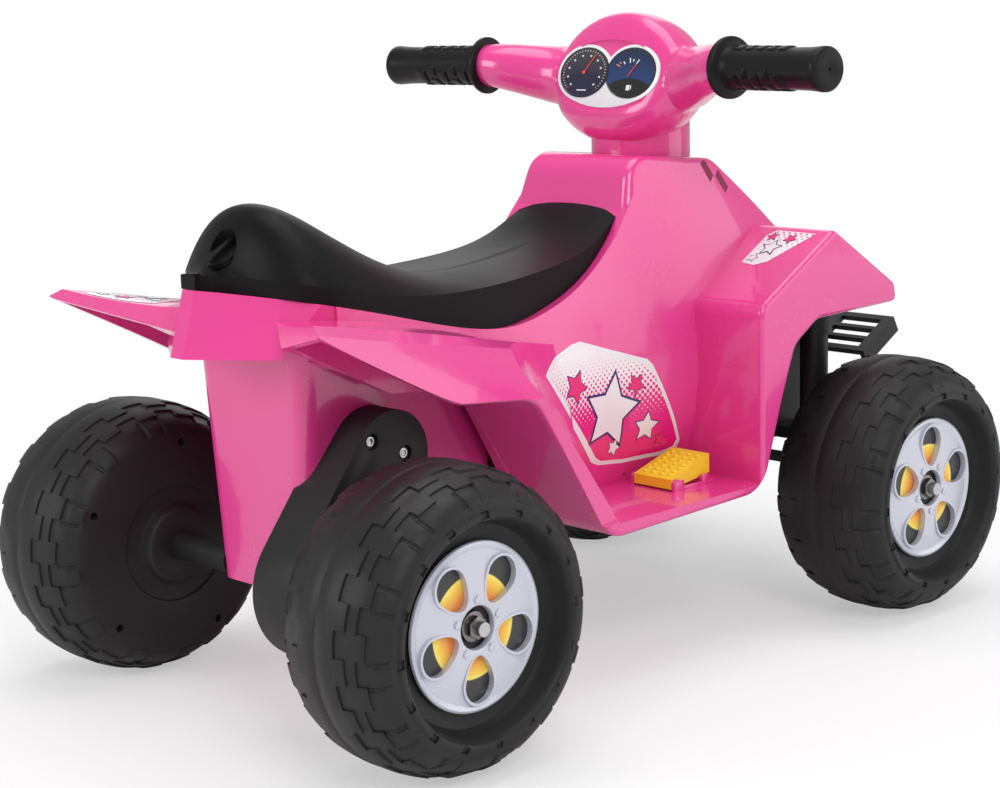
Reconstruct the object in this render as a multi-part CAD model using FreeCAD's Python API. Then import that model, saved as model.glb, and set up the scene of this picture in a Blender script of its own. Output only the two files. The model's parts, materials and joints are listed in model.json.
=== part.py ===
import FreeCAD
import Part
import math
import os

Vector = FreeCAD.Vector

# Ride-on quad bike for small children. X points forward, Y to the rider's left, Z up.
# The origin lies on the ground under the middle of the wheelbase. All lengths in millimetres.

# Driving sizes
wheel_radius = 106.0
tyre_width = 110.0
wheelbase = 514.0
track_half = 176.0
body_half_width = 158.0
tank_height = 386.0
floor_height = 128.0
shell_wall = 4.0
cut_overrun = 40.0
running_gap = 0.3
rim_round = 4.0
floor_rim = 14.0
crease_band = 7.0
tank_edge_round = 7.0
tank_edge_low_share = 0.70
bearing_gap = 0.05
half_base = wheelbase / 2
wheel_top = 2 * wheel_radius

# Heights are shares of the tank height. Floor and wheel top are fixed marks on that scale.
floor_mark_share = 0.3316
wheel_mark_share = 0.5492

# Side outline of the outer rim, from the rear fender tip along the lower edge to the front fender
rim_shares = [
    (-1.300, 0.785), (-0.825, 0.622), (-0.553, 0.604), (-0.253, 0.302), (0.436, 0.314), (0.529, 0.495),
    (0.595, 0.604), (0.708, 0.650), (1.128, 0.655), (1.112, 0.697), (0.790, 0.832), (0.790, 0.930),
    (-1.350, 0.930),
]
rim_rounds = [4.0, 18.0, 22.0, 26.0, 30.0, 20.0, 18.0, 20.0, 5.0, 5.0, 7.0, 9.0, 9.0]

# Line on which the seat rests, from the tail to the tank, and the tank and hood line after it
seat_line_shares = [
    (-1.350, 0.835), (-1.241, 0.826), (-0.984, 0.793), (-0.747, 0.753), (-0.475, 0.710),
    (-0.331, 0.703), (-0.187, 0.718), (0.019, 0.767), (0.175, 0.845),
]
tank_line_shares = [(0.228, 0.889), (0.276, 1.000), (0.665, 0.977), (1.252, 0.632)]
tank_line_rounds = [0.0, 22.0, 22.0, 0.0]
tub_top_share = 0.706
foot_bottom_share = 0.290

# Half widths of the middle body at four heights
core_place_shares = [-0.984, -0.475, -0.195, 0.156, 0.424, 0.661, 0.934, 1.268]
core_width_shares = [
    (0.285, [0.468, 0.468, 0.418, 0.367, 0.390, 0.410, 0.400, 0.304]),
    (0.699, [0.506, 0.506, 0.494, 0.465, 0.550, 0.575, 0.520, 0.380]),
    (0.829, [0.494, 0.481, 0.440, 0.410, 0.475, 0.490, 0.420, 0.280]),
    (1.016, [0.443, 0.418, 0.370, 0.345, 0.345, 0.310, 0.240, 0.165]),
]

# Boat tail outline at its skirt and above its top
tail_levels_shares = [
    (0.694, [(-0.930, 0.506), (-1.156, 0.405), (-1.296, 0.045)]),
    (0.842, [(-0.930, 0.506), (-0.973, 0.506), (-1.233, 0.045)]),
]

# Cross sections of the rear fenders: inner edge, crease and outer edge
fender_section_shares = [
    (-1.342, [(0.380, 0.754), (0.985, 0.811), (1.010, 0.785)]),
    (-0.825, [(0.494, 0.754), (0.829, 0.741), (1.000, 0.622)]),
    (-0.436, [(0.506, 0.694), (0.696, 0.687), (0.994, 0.598)]),
    (-0.117, [(0.468, 0.648), (0.570, 0.642), (0.949, 0.518)]),
]
fender_rear_edge_shares = [(-1.118, 0.360), (-1.306, 1.040)]

# Leg space beside the body at four heights, from the outer rim to the toe board
leg_space_shares = [
    (0.3316, [(-0.215, 1.089), (-0.165, 0.791), (0.054, 0.443), (0.233, 0.390), (0.424, 0.405)]),
    (0.518, [(-0.430, 1.089), (-0.350, 0.791), (-0.078, 0.506), (0.195, 0.440), (0.424, 0.462)]),
    (0.699, [(-0.640, 1.089), (-0.520, 0.772), (-0.195, 0.500), (0.156, 0.465), (0.424, 0.550)]),
    (0.855, [(-0.815, 1.089), (-0.655, 0.747), (-0.296, 0.494), (0.125, 0.450), (0.424, 0.570)]),
]

leg_place_shares = [0.0, 0.20, 0.52, 0.78, 1.0]

# Roof line of the front fender from the toe board over the ridge to the front edge
front_roof_shares = [(0.424, 0.250), (0.424, 0.694), (0.790, 0.832), (1.112, 0.697), (1.160, 0.677), (1.160, 0.250)]
front_roof_rounds = [9.0, 14.0, 7.0, 5.0, 9.0, 9.0]

# Seat stations from tail to tank: place, half width, lower edge, top of the side band and crown
seat_section_shares = [
    (-1.241, 0.051, 0.801, 0.852, 0.855), (-1.109, 0.285, 0.785, 0.842, 0.912),
    (-0.973, 0.500, 0.764, 0.824, 0.961), (-0.837, 0.506, 0.744, 0.806, 0.912),
    (-0.661, 0.500, 0.715, 0.788, 0.847), (-0.475, 0.494, 0.684, 0.785, 0.806),
    (-0.233, 0.449, 0.679, 0.793, 0.801), (0.000, 0.399, 0.712, 0.813, 0.824),
    (0.156, 0.361, 0.777, 0.855, 0.868), (0.280, 0.329, 0.829, 0.899, 0.912),
]
seat_across_shares = [-1.0, -0.6, 0.0, 0.6, 1.0]
seat_rise_shares = [0.0, 0.68, 1.0, 0.68, 0.0]
seat_wall = 3.5
seat_curve_degree = 3
hatch_rear_share = -0.837
hatch_front_share = -0.350
hatch_width_share = 0.285
hatch_rear = hatch_rear_share * half_base
hatch_front = hatch_front_share * half_base
hatch_half_width = hatch_width_share * body_half_width

# Turning lock in the tail of the seat
lock_place_shares = (-1.1362, 0.8990)
lock_tilt = 33.0
lock_axis = Vector(-math.sin(math.radians(lock_tilt)), 0, math.cos(math.radians(lock_tilt)))
lock_radius = 14.5
lock_depth = 11.0
lock_gap = 0.7
knob_thickness = 4.0
grip_length = 22.0
grip_width = 5.0
grip_rise = 4.0
spindle_radius = 4.0
cam_length = 20.0
cam_width = 8.0
cam_thickness = 3.0

# Rear tub and drive
tub_drop = 10.0
tub_bottom = wheel_radius - tub_drop
tub_roof_share = 0.777
tub_high_shares = (-1.062, -0.311, 0.411)
tub_low_shares = (-1.047, -0.335, 0.316)
tub_corner = 14.0
tub_wall = 3.5
axle_radius = 5.0
axle_reach = 46.0
axle_end = track_half + axle_reach
bush_radius = 11.0
bush_gap = 0.15
motor_ahead = 38.0
motor_rise = 95.0
motor_x = motor_ahead - half_base
motor_z = wheel_radius + motor_rise
motor_radius = 14.0
motor_length = 75.0
motor_tail = 5.0
case_clear = 78.0
case_outer = track_half - case_clear
case_lap = 5.0
case_axle_radius = 54.0
case_motor_radius = 28.0
case_ear_ahead = 41.0
case_ear_drop = 12.0
case_ear_radius = 14.0
battery_gap = 5.0
battery_rear = motor_x + motor_radius + battery_gap
battery_length = 70.0
battery_width = 47.0
battery_height = 101.0
pole_size = 5.0
pole_share = 0.3

# Handlebar
steering_place_share = 0.5642
steering_x = steering_place_share * half_base
collar_sink = 13.0
collar_rise = 23.0
collar_bottom = tank_height - collar_sink
collar_top = tank_height + collar_rise
collar_radius = 41.0
collar_wall = 4.0
cup_radius = 42.5
column_radius = 8.0
stem_gap = 4.0
head_back = 11.0
head_rise = 63.0
head_x = steering_x - head_back
head_z = tank_height + head_rise
head_radius = 48.0
grip_back = 51.0
bar_rise = 68.0
grip_x = steering_x - grip_back
grip_z = tank_height + bar_rise
grip_inner_y = 134.0
grip_end = 241.0
grip_radius = 17.0
grip_flange_radius = 24.0
grip_flange = 5.0
grip_taper = 4.0
# Rings of the head and its arms from the middle to the grip: place, setback, rise and radius
head_ring_shares = [
    (0.00, 0.00, 0.00, 1.00), (0.24, 0.07, 0.00, 0.93), (0.46, 0.33, 0.10, 0.735), (0.66, 0.62, 0.60, 0.530),
    (0.84, 0.86, 1.00, 0.420), (1.00, 1.00, 1.00, 0.375),
]
seam_shares = (0.30, 0.15)
bar_radius = 9.0
bar_end = 236.0
bar_bend_y = 35.0
bar_corner_y = 118.0
bar_bend_round = 30.0
dash_back = 39.0
dash_rise = 64.0
dash_x = steering_x - dash_back
dash_z = tank_height + dash_rise
dash_half_width = 74.0
dash_tilt = 16.6
dash_depth = 2.5
dash_thickness = 2.0
dash_lobe_y = 27.0
dash_lobe_z = 3.0
dash_lobe_radius = 32.0
dash_chin_drop = 36.0

# Steering gear
king_offset = 81.0
king_y = track_half - king_offset
tie_arm = 32.0
crank_arm = 30.0
crank_spot = (steering_x, -crank_arm)
drag_spot = (half_base, king_y - crank_arm)
arm_half_width = 7.0
arm_rise = 2.0
arm_thickness = 8.0
link_thickness = 6.0
link_drop = 2.0
tie_rise = 1.0
arm_low = wheel_radius + arm_rise
arm_high = arm_low + arm_thickness
link_high = arm_low - link_drop
link_low = link_high - link_thickness
tie_low = arm_high + tie_rise
tie_high = tie_low + link_thickness
link_pin_radius = 4.0
link_pin_tail = 2.0
link_gap = 0.6
strut_radius = 12.0
kingpin_radius = 7.0
kingpin_reach = 12.0
foot_radius = 14.0
foot_drop = 12.0
lug_rise = 26.0
lug_thickness = 10.0
upper_lug_thickness = 16.0
lower_lug_low = wheel_radius + lug_rise
lower_lug_top = lower_lug_low + lug_thickness
lug_radius = 15.0
bearing_thickness = 6.0
bearing_low = wheel_radius + lug_rise
bearing_high = bearing_low + bearing_thickness

# Front carrier, rail and bumper
carrier_gap = 5.0
carrier_ahead = 33.0
carrier_rear = leg_space_shares[0][1][-1][0] * half_base + shell_wall + carrier_gap
carrier_front = half_base + carrier_ahead
carrier_half = 60.0
carrier_rise = 24.0
carrier_bottom = wheel_radius + carrier_rise
carrier_wall = 4.0
flange_half = 92.0
rib_setbacks = [61.0, 25.0]
rib_depth = 55.0
shelf_reach = 14.0
rail_half = 46.0
rail_depth = 30.0
rail_bottom = floor_height - rail_depth
rail_wall = 4.0
rail_slope = 4.0
rail_step = 17.0
rail_heel = floor_height - rail_step
wing_half = 72.0
bumper_ahead = 55.0
bumper_rise = 92.0
bumper_x = half_base + bumper_ahead
bumper_z = wheel_radius + bumper_rise
bumper_tilt = 29.0
bumper_length = 51.0
bumper_thickness = 5.0
bumper_half = 108.0
bumper_border = 6.0
slot_bar = 4.0
slot_count = 3
slot_inner = 56.0
slot_outer = 99.0
cheek_drop = 10.0
bumper_arm_in = 34.0
bumper_arm_out = 50.0
bumper_arm_reach = 16.0
bumper_arm_drop = 14.0

# Wheel outline from the inner hub round the tread to the outer dish, as shares of half width and radius
wheel_section_shares = [
    (-1.13, 0.05), (-1.13, 0.26), (-0.93, 0.39), (-0.80, 0.58), (-1.00, 0.68), (-1.00, 0.79), (-0.70, 0.960),
    (0.00, 1.000), (0.70, 0.960), (1.00, 0.79), (0.95, 0.72), (0.62, 0.67), (0.62, 0.05),
]
cavity_section_shares = [
    (-0.70, 0.20), (-0.70, 0.64), (-0.92, 0.74), (-0.62, 0.920), (0.62, 0.920), (0.92, 0.76), (0.53, 0.69),
    (0.53, 0.20),
]
drain_count = 4
drain_place = 78.0
drain_radius = 3.0
cap_radius = 58.0
cap_rim = 3.0
cap_dome = 6.0
cap_floor = 1.5
hub_hole = 15.0
window_count = 5
window_far = 39.0
window_near = 25.0
window_wide = 11.0
window_narrow = 5.0
nut_radius = 10.0
nut_height = 7.0

# Pedal
pedal_toe_gap = 21.0
pedal_length = 46.0
pedal_width = 39.0
pedal_place_share = -0.642
pedal_foot_gap = 1.5
pedal_heel = 8.0
pedal_lift = 8.0
pedal_toe = 15.0
pedal_front = leg_space_shares[0][1][-1][0] * half_base - pedal_toe_gap
pedal_rear = pedal_front - pedal_length
pedal_right = pedal_place_share * body_half_width - pedal_width / 2
pedal_left = pedal_right + pedal_width
pedal_rear_low = floor_height + pedal_foot_gap
pedal_rear_high = pedal_rear_low + pedal_heel
pedal_front_low = floor_height + pedal_lift
pedal_front_high = pedal_front_low + pedal_toe
pedal_wall = 2.5
pedal_boss = 8.0
pedal_side_gap = 0.6
hinge_step = 4.0
hinge_rise = 5.5
hinge_x = pedal_rear + hinge_step
hinge_z = floor_height + hinge_rise
pin_radius = 1.5
ear_radius = 4.0
ear_thickness = 3.0
switch_step = 20.0
switch_x = pedal_rear + switch_step
switch_length = 14.0
switch_width = 12.0
switch_height = 5.0
plunger_rise = 1.5


def body_height(z_share):
    if z_share < floor_mark_share:
        return z_share / floor_mark_share * floor_height
    if z_share < wheel_mark_share:
        rise_share = (z_share - floor_mark_share) / (wheel_mark_share - floor_mark_share)
        return floor_height + rise_share * (wheel_top - floor_height)
    rise_share = (z_share - wheel_mark_share) / (1 - wheel_mark_share)
    return wheel_top + rise_share * (tank_height - wheel_top)


def body_spot(x_share, y_share, z_share):
    return Vector(x_share * half_base, y_share * body_half_width, body_height(z_share))


def rounded_edges(points, rounds, closed):
    count = len(points)
    edges = []
    last_end = None
    first_start = None
    for place in range(count):
        corner = points[place]
        radius = rounds[place]
        inside = closed or 0 < place < count - 1
        if radius > 0 and inside:
            back = (points[place - 1] - corner).normalize()
            ahead = (points[(place + 1) % count] - corner).normalize()
            half_angle = back.getAngle(ahead) / 2
            reach = radius / math.tan(half_angle)
            start = corner + back * reach
            end = corner + ahead * reach
            middle = corner + (back + ahead).normalize() * (radius / math.sin(half_angle) - radius)
            turn = Part.Arc(start, middle, end).toShape()
        else:
            start = corner
            end = corner
            turn = None
        if last_end is None:
            first_start = start
        else:
            edges.append(Part.makeLine(last_end, start))
        if turn is not None:
            edges.append(turn)
        last_end = end
    if closed:
        edges.append(Part.makeLine(last_end, first_start))
    return edges


def spline_edge(points, places):
    curve = Part.BSplineCurve()
    curve.interpolate(Points=points, Parameters=places)
    return curve.toShape()


def mirrored(shape):
    return shape.mirror(Vector(0, 0, 0), Vector(0, 1, 0))


def span_prism(wire, half_width):
    face = Part.Face(wire)
    face.translate(Vector(0, -half_width, 0))
    return face.extrude(Vector(0, 2 * half_width, 0))


def block(x_low, x_high, y_low, y_high, z_low, z_high):
    return Part.makeBox(x_high - x_low, y_high - y_low, z_high - z_low, Vector(x_low, y_low, z_low))


# Body shell
def core_body(inset):
    wires = []
    back_places = [-place for place in reversed(core_place_shares)]
    for level_share, width_shares in core_width_shares:
        right = []
        left = []
        for x_share, y_share in zip(core_place_shares, width_shares):
            spot = body_spot(x_share, y_share, level_share)
            right.append(Vector(spot.x, inset - spot.y, spot.z))
            left.append(Vector(spot.x, spot.y - inset, spot.z))
        left.reverse()
        edges = [
            spline_edge(right, core_place_shares),
            Part.makeLine(right[-1], left[0]),
            spline_edge(left, back_places),
            Part.makeLine(left[-1], right[0]),
        ]
        wires.append(Part.Wire(edges) if inset == 0 else Part.makePolygon(right + left + [right[0]]))
    return Part.makeLoft(wires, True, inset > 0)


def tail_body(inset):
    wires = []
    for level_share, corner_shares in tail_levels_shares:
        right = []
        left = []
        for x_share, y_share in corner_shares:
            spot = body_spot(x_share, y_share, level_share)
            forward = inset if x_share < corner_shares[0][0] else 0
            right.append(Vector(spot.x + forward, min(inset - spot.y, -inset), spot.z))
            left.append(Vector(spot.x + forward, max(spot.y - inset, inset), spot.z))
        left.reverse()
        points = right + left
        wires.append(Part.makePolygon(points + [points[0]]))
    return Part.makeLoft(wires, True, True)


def side_profile(drop):
    seat_points = [body_spot(x, 0, z) for x, z in seat_line_shares]
    tank_points = [body_spot(x, 0, z) for x, z in tank_line_shares]
    front_low = tank_points[-1] - Vector(0, 0, drop)
    toe_x = leg_space_shares[0][1][-1][0] * half_base
    arch_corner = body_spot(rim_shares[2][0], 0, rim_shares[2][1])
    heel_x = rim_shares[3][0] * half_base
    foot_z = body_height(foot_bottom_share) - drop
    tub_z = body_height(tub_top_share) - drop
    seat_places = [x for x, z in seat_line_shares]
    edges = [spline_edge(seat_points, seat_places), Part.makeLine(seat_points[-1], tank_points[0])]
    edges += rounded_edges(tank_points, tank_line_rounds, False)
    loop = [
        tank_points[-1], front_low, Vector(toe_x, 0, front_low.z), Vector(toe_x, 0, foot_z),
        Vector(heel_x, 0, foot_z), arch_corner, Vector(arch_corner.x, 0, tub_z),
        Vector(seat_points[0].x, 0, tub_z), seat_points[0],
    ]
    for start, end in zip(loop, loop[1:]):
        if start.distanceToPoint(end) > 0:
            edges.append(Part.makeLine(start, end))
    return span_prism(Part.Wire(edges), body_half_width)


def fender_envelope(inset):
    wires = []
    foot_z = body_height(foot_bottom_share) - cut_overrun
    for x_share, section_shares in fender_section_shares:
        right = []
        left = []
        inner, crease, outer = [body_spot(x_share, y, z) for y, z in section_shares]
        crease_in = crease + (inner - crease).normalize() * crease_band
        crease_out = crease + (outer - crease).normalize() * crease_band
        for spot in (inner, crease_in, crease_out, outer):
            right.append(Vector(spot.x, inset - spot.y, spot.z - inset))
            left.append(Vector(spot.x, spot.y - inset, spot.z - inset))
        right.append(Vector(right[-1].x, right[-1].y, foot_z))
        left.append(Vector(left[-1].x, left[-1].y, foot_z))
        left.reverse()
        points = left + right
        wires.append(Part.makePolygon(points + [points[0]]))
    return Part.makeLoft(wires, True, False)


def rounded_prism(outline_shares, rounds, half_width):
    points = [body_spot(x, 0, z) for x, z in outline_shares]
    prism = span_prism(Part.Wire(rounded_edges(points, rounds, True)), half_width)
    rim_edges = [edge for edge in prism.Edges if abs(edge.BoundBox.YMax - edge.BoundBox.YMin) < running_gap]
    return prism.makeFillet(rim_round, rim_edges)


def leg_space():
    wires = []
    for level_share, line_shares in leg_space_shares:
        line = [body_spot(x, -y, level_share) for x, y in line_shares]
        outer = Vector(line[-1].x, line[0].y, line[0].z)
        edges = [spline_edge(line, leg_place_shares), Part.makeLine(line[-1], outer), Part.makeLine(outer, line[0])]
        wires.append(Part.Wire(edges))
    return Part.makeLoft(wires, True, False)


def fender_notch(side, inset):
    inner_edge, outer_edge = [body_spot(x, side * y, 0) + Vector(inset, 0, 0) for x, y in fender_rear_edge_shares]
    back_x = 2 * inner_edge.x
    points = [
        inner_edge, outer_edge, Vector(back_x, outer_edge.y, 0), Vector(back_x, 0, 0), Vector(inner_edge.x, 0, 0),
    ]
    return Part.Face(Part.makePolygon(points + [points[0]])).extrude(Vector(0, 0, tank_height))


def rounded_middle():
    middle = core_body(0).common(side_profile(0))
    seat_end = seat_line_shares[-1][0] * half_base
    top_edges = []
    for edge in middle.Edges:
        centre = edge.CenterOfMass
        along = edge.BoundBox.YLength < edge.BoundBox.XLength + edge.BoundBox.ZLength
        ahead = edge.BoundBox.XMin > seat_end + shell_wall
        if along and ahead and centre.z > body_height(tank_edge_low_share) and abs(centre.y) > shell_wall:
            top_edges.append(edge)
    return middle.makeFillet(tank_edge_round, top_edges)


def body_mass():
    middle = rounded_middle()
    tail = tail_body(0).common(side_profile(0))
    slab = rounded_prism(rim_shares, rim_rounds, body_half_width)
    rear = slab.common(fender_envelope(0)).cut([fender_notch(1, 0), fender_notch(-1, 0)])
    rim_low = slab.common(block(-half_base, half_base, -body_half_width, body_half_width, 0, floor_height))
    front = slab.common(rounded_prism(front_roof_shares, front_roof_rounds, body_half_width))
    sides = rear.fuse([rim_low, front])
    pocket = leg_space()
    sides = sides.cut([pocket, mirrored(pocket)])
    return middle.fuse([tail, sides]).removeSplitter()


def under_profile():
    profile = side_profile(cut_overrun)
    lowered = profile.translated(Vector(0, 0, -shell_wall))
    ahead = profile.translated(Vector(shell_wall, 0, -shell_wall))
    behind = profile.translated(Vector(-shell_wall, 0, -shell_wall))
    return lowered.common(ahead).common(behind)


def body_hollows():
    inside = under_profile()
    middle = core_body(shell_wall).common(inside)
    tail = tail_body(shell_wall).common(inside)
    core_side = core_width_shares[1][1][0] * body_half_width + shell_wall
    outer_side = body_half_width - shell_wall
    arch = body_spot(rim_shares[2][0], 0, rim_shares[2][1])
    heel = body_spot(rim_shares[3][0], 0, rim_shares[3][1])
    rear_end = 2 * body_spot(rim_shares[0][0], 0, 0).x
    envelope = fender_envelope(shell_wall)
    hollows = [middle, tail]
    pocket = leg_space()
    for side in (1, -1):
        near, far = sorted((side * core_side, side * outer_side))
        fender = block(rear_end, arch.x - shell_wall, near, far, 0, tank_height).common(envelope)
        fender = fender.cut(fender_notch(side, shell_wall))
        haunch_points = [
            Vector(arch.x + shell_wall, 0, tank_height), Vector(arch.x + shell_wall, 0, arch.z),
            Vector(heel.x + shell_wall, 0, heel.z), Vector(heel.x + shell_wall, 0, 0), Vector(0, 0, 0),
            Vector(0, 0, tank_height),
        ]
        haunch = span_prism(Part.makePolygon(haunch_points + [haunch_points[0]]), body_half_width)
        haunch = haunch.common(block(rear_end, 0, near, far, 0, tank_height)).common(envelope)
        legs = pocket if side < 0 else mirrored(pocket)
        haunch = haunch.cut(legs.translated(Vector(-shell_wall / 2, -side * shell_wall, -shell_wall)))
        hollows += [fender, haunch]
        roof_points = [body_spot(x, 0, z) for x, z in front_roof_shares]
        toe_x = roof_points[0].x + shell_wall
        skirt = block(toe_x, roof_points[4].x, near, far, 0, tank_height)
        roof = span_prism(Part.makePolygon(roof_points + [roof_points[0]]), body_half_width)
        lowered = roof.translated(Vector(shell_wall, 0, -shell_wall))
        lowered = lowered.common(roof.translated(Vector(-shell_wall, 0, -shell_wall)))
        hollows.append(lowered.common(skirt))
    hood_low = body_height(tank_line_shares[-1][1]) - shell_wall
    hollows.append(block(toe_x, roof_points[4].x, -outer_side, outer_side, 0, hood_low))
    hollows.append(block(heel.x + floor_rim, toe_x - floor_rim, -outer_side, outer_side, 0, floor_height - shell_wall))
    return hollows


def hood_collar_cup():
    floor_z = collar_bottom - running_gap - shell_wall
    wall = Part.makeCylinder(cup_radius + shell_wall, tank_height - floor_z, Vector(steering_x, 0, floor_z))
    return wall.common(rounded_middle())


def pedal_ears():
    ears = []
    for place in (pedal_right - pedal_side_gap - ear_thickness, pedal_left + pedal_side_gap):
        plate = Part.makeCylinder(ear_radius, ear_thickness, Vector(hinge_x, place, hinge_z), Vector(0, 1, 0))
        foot = block(hinge_x - ear_radius, hinge_x + ear_radius, place, place + ear_thickness, floor_height, hinge_z)
        ears.append(plate.fuse(foot))
    return ears


def body_shell():
    body = body_mass()
    for hollow in body_hollows():
        body = body.cut(hollow)
    body = body.fuse([hood_collar_cup()] + pedal_ears())
    recess_z = collar_bottom - running_gap
    recess = Part.makeCylinder(cup_radius, tank_height, Vector(steering_x, 0, recess_z))
    bearing = Part.makeCylinder(column_radius + bearing_gap, tank_height, Vector(steering_x, 0, floor_height))
    hatch = block(hatch_rear, hatch_front, -hatch_half_width, hatch_half_width, floor_height, tank_height)
    pin_hole = Part.makeCylinder(
        pin_radius + bearing_gap, body_half_width, Vector(hinge_x, -body_half_width, hinge_z), Vector(0, 1, 0))
    tub_space = tub_solid(-running_gap).common(under_deck())
    return body.cut([recess, bearing, hatch, pin_hole, tub_space])


# Seat
def seat_body(inset):
    wires = []
    stations = seat_section_shares[1:-1] if inset > 0 else seat_section_shares
    for x_share, width_share, low_share, side_share, top_share in stations:
        x = x_share * half_base
        half = width_share * body_half_width - inset
        low = body_height(low_share)
        side = body_height(side_share) - inset
        top = body_height(top_share) - inset
        if inset > 0:
            low -= cut_overrun
        crown = []
        for across_share, rise_share in zip(seat_across_shares, seat_rise_shares):
            crown.append(Vector(x, across_share * half, side + rise_share * (top - side)))
        low_right = Vector(x, -half, low)
        low_left = Vector(x, half, low)
        base = [
            Part.makeLine(crown[-1], low_left),
            Part.makeLine(low_left, low_right),
            Part.makeLine(low_right, crown[0]),
        ]
        if inset > 0:
            wires.append(Part.makePolygon(crown + [low_left, low_right, crown[0]]))
        else:
            wires.append(Part.Wire([spline_edge(crown, seat_across_shares)] + base))
    return Part.makeLoft(wires, True, inset > 0, False, seat_curve_degree)


def lock_spot(height):
    return body_spot(lock_place_shares[0], 0, lock_place_shares[1]) + lock_axis * height


def lock_disc(radius, low, high):
    return Part.makeCylinder(radius, high - low, lock_spot(low), lock_axis)


def lock_bar(length, width, low, high):
    bar = Part.makeBox(length, width, high - low, Vector(-length / 2, -width / 2, 0))
    bar.rotate(Vector(0, 0, 0), Vector(0, 1, 0), -lock_tilt)
    bar.translate(lock_spot(low))
    return bar


def above_seat_line():
    clear = Vector(-running_gap, 0, running_gap)
    line = [body_spot(x, 0, z) + clear for x, z in seat_line_shares]
    tank_foot, tank_rear = [body_spot(x, 0, z) + clear for x, z in tank_line_shares[:2]]
    high = Vector(0, 0, tank_height)
    loop = [line[-1], tank_foot, tank_rear, tank_rear + high, line[0] + high, line[0]]
    edges = [spline_edge(line, [x for x, z in seat_line_shares])]
    for start, end in zip(loop, loop[1:]):
        edges.append(Part.makeLine(start, end))
    return span_prism(Part.Wire(edges), body_half_width)


def seat():
    outer = seat_body(0).common(above_seat_line())
    cup = lock_disc(lock_radius + seat_wall, -lock_depth - seat_wall, cut_overrun).common(outer)
    shell = outer.cut(seat_body(seat_wall)).fuse(cup)
    return shell.cut([
        lock_disc(lock_radius, -lock_depth, cut_overrun),
        lock_disc(spindle_radius + bearing_gap, -lock_depth - seat_wall, cut_overrun),
        lock_disc(lock_radius, -lock_depth - seat_wall - 2 * cam_thickness, -lock_depth - seat_wall),
    ])


def seat_lock():
    floor = running_gap - lock_depth
    disc = lock_disc(lock_radius - lock_gap, floor, floor + knob_thickness)
    grip = lock_bar(grip_length, grip_width, floor, floor + knob_thickness + grip_rise)
    spindle = lock_disc(spindle_radius, -lock_depth - seat_wall - cam_thickness - running_gap, floor)
    cam = lock_bar(cam_length, cam_width, -lock_depth - seat_wall - running_gap - cam_thickness,
                   -lock_depth - seat_wall - running_gap)
    return disc.fuse([grip, spindle, cam])


# Rear tub with its drive
def tub_solid(inset):
    wires = []
    for z, line_shares in (
        (tub_bottom + inset, tub_low_shares), (body_height(tub_roof_share) + inset, tub_high_shares),
    ):
        rear = line_shares[0] * half_base
        front = line_shares[1] * half_base
        half = line_shares[2] * body_half_width
        corners = [
            Vector(rear + inset, inset - half, z), Vector(front - inset, inset - half, z),
            Vector(front - inset, half - inset, z), Vector(rear + inset, half - inset, z),
        ]
        wires.append(Part.Wire(rounded_edges(corners, [tub_corner - inset] * len(corners), True)))
    return Part.makeLoft(wires, True, True)


def axle_rod(radius, low, high, x):
    return Part.makeCylinder(radius, high - low, Vector(x, low, wheel_radius), Vector(0, 1, 0))


def under_deck():
    seat_points = [body_spot(x, 0, z) - Vector(0, 0, shell_wall) for x, z in seat_line_shares]
    seat_places = [x for x, z in seat_line_shares]
    low_front = Vector(seat_points[-1].x, 0, 0)
    low_rear = Vector(seat_points[0].x, 0, 0)
    edges = [
        spline_edge(seat_points, seat_places), Part.makeLine(seat_points[-1], low_front),
        Part.makeLine(low_front, low_rear), Part.makeLine(low_rear, seat_points[0]),
    ]
    return span_prism(Part.Wire(edges), body_half_width)


def rear_tub():
    deck = under_deck().translated(Vector(0, 0, -running_gap))
    tub = tub_solid(0).common(deck).cut(tub_solid(tub_wall))
    bush_hole = axle_rod(bush_radius, 0, track_half, -half_base)
    motor_hole = Part.makeCylinder(motor_radius + running_gap, track_half, Vector(motor_x, -track_half, motor_z),
                                   Vector(0, 1, 0))
    axle_hole = axle_rod(axle_radius, -track_half, track_half, -half_base)
    return tub.cut([bush_hole, motor_hole, axle_hole])


def hub_face():
    return track_half + wheel_section_shares[0][0] * tyre_width / 2


def axle_bush():
    start = tub_low_shares[2] * body_half_width - tub_wall
    bush = axle_rod(bush_radius, start, hub_face() - bush_gap, -half_base)
    return bush.cut(axle_rod(axle_radius, 0, track_half, -half_base))


def lobe_plate(spots, low, high):
    plates = []
    for x, z, radius in spots:
        plates.append(Part.makeCylinder(radius, high - low, Vector(x, low, z), Vector(0, 1, 0)))
    for first, second in zip(spots, spots[1:]):
        start = Vector(first[0], low, first[1])
        end = Vector(second[0], low, second[1])
        line = end - start
        along = math.atan2(line.z, line.x)
        lean = math.acos((first[2] - second[2]) / line.Length)
        corners = []
        for centre, radius, turn in (
            (start, first[2], lean), (end, second[2], lean), (end, second[2], -lean), (start, first[2], -lean),
        ):
            way = Vector(math.cos(along + turn), 0, math.sin(along + turn))
            corners.append(centre + way * radius)
        plates.append(Part.Face(Part.makePolygon(corners + [corners[0]])).extrude(Vector(0, high - low, 0)))
    return plates[0].fuse(plates[1:]).removeSplitter()


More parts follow.
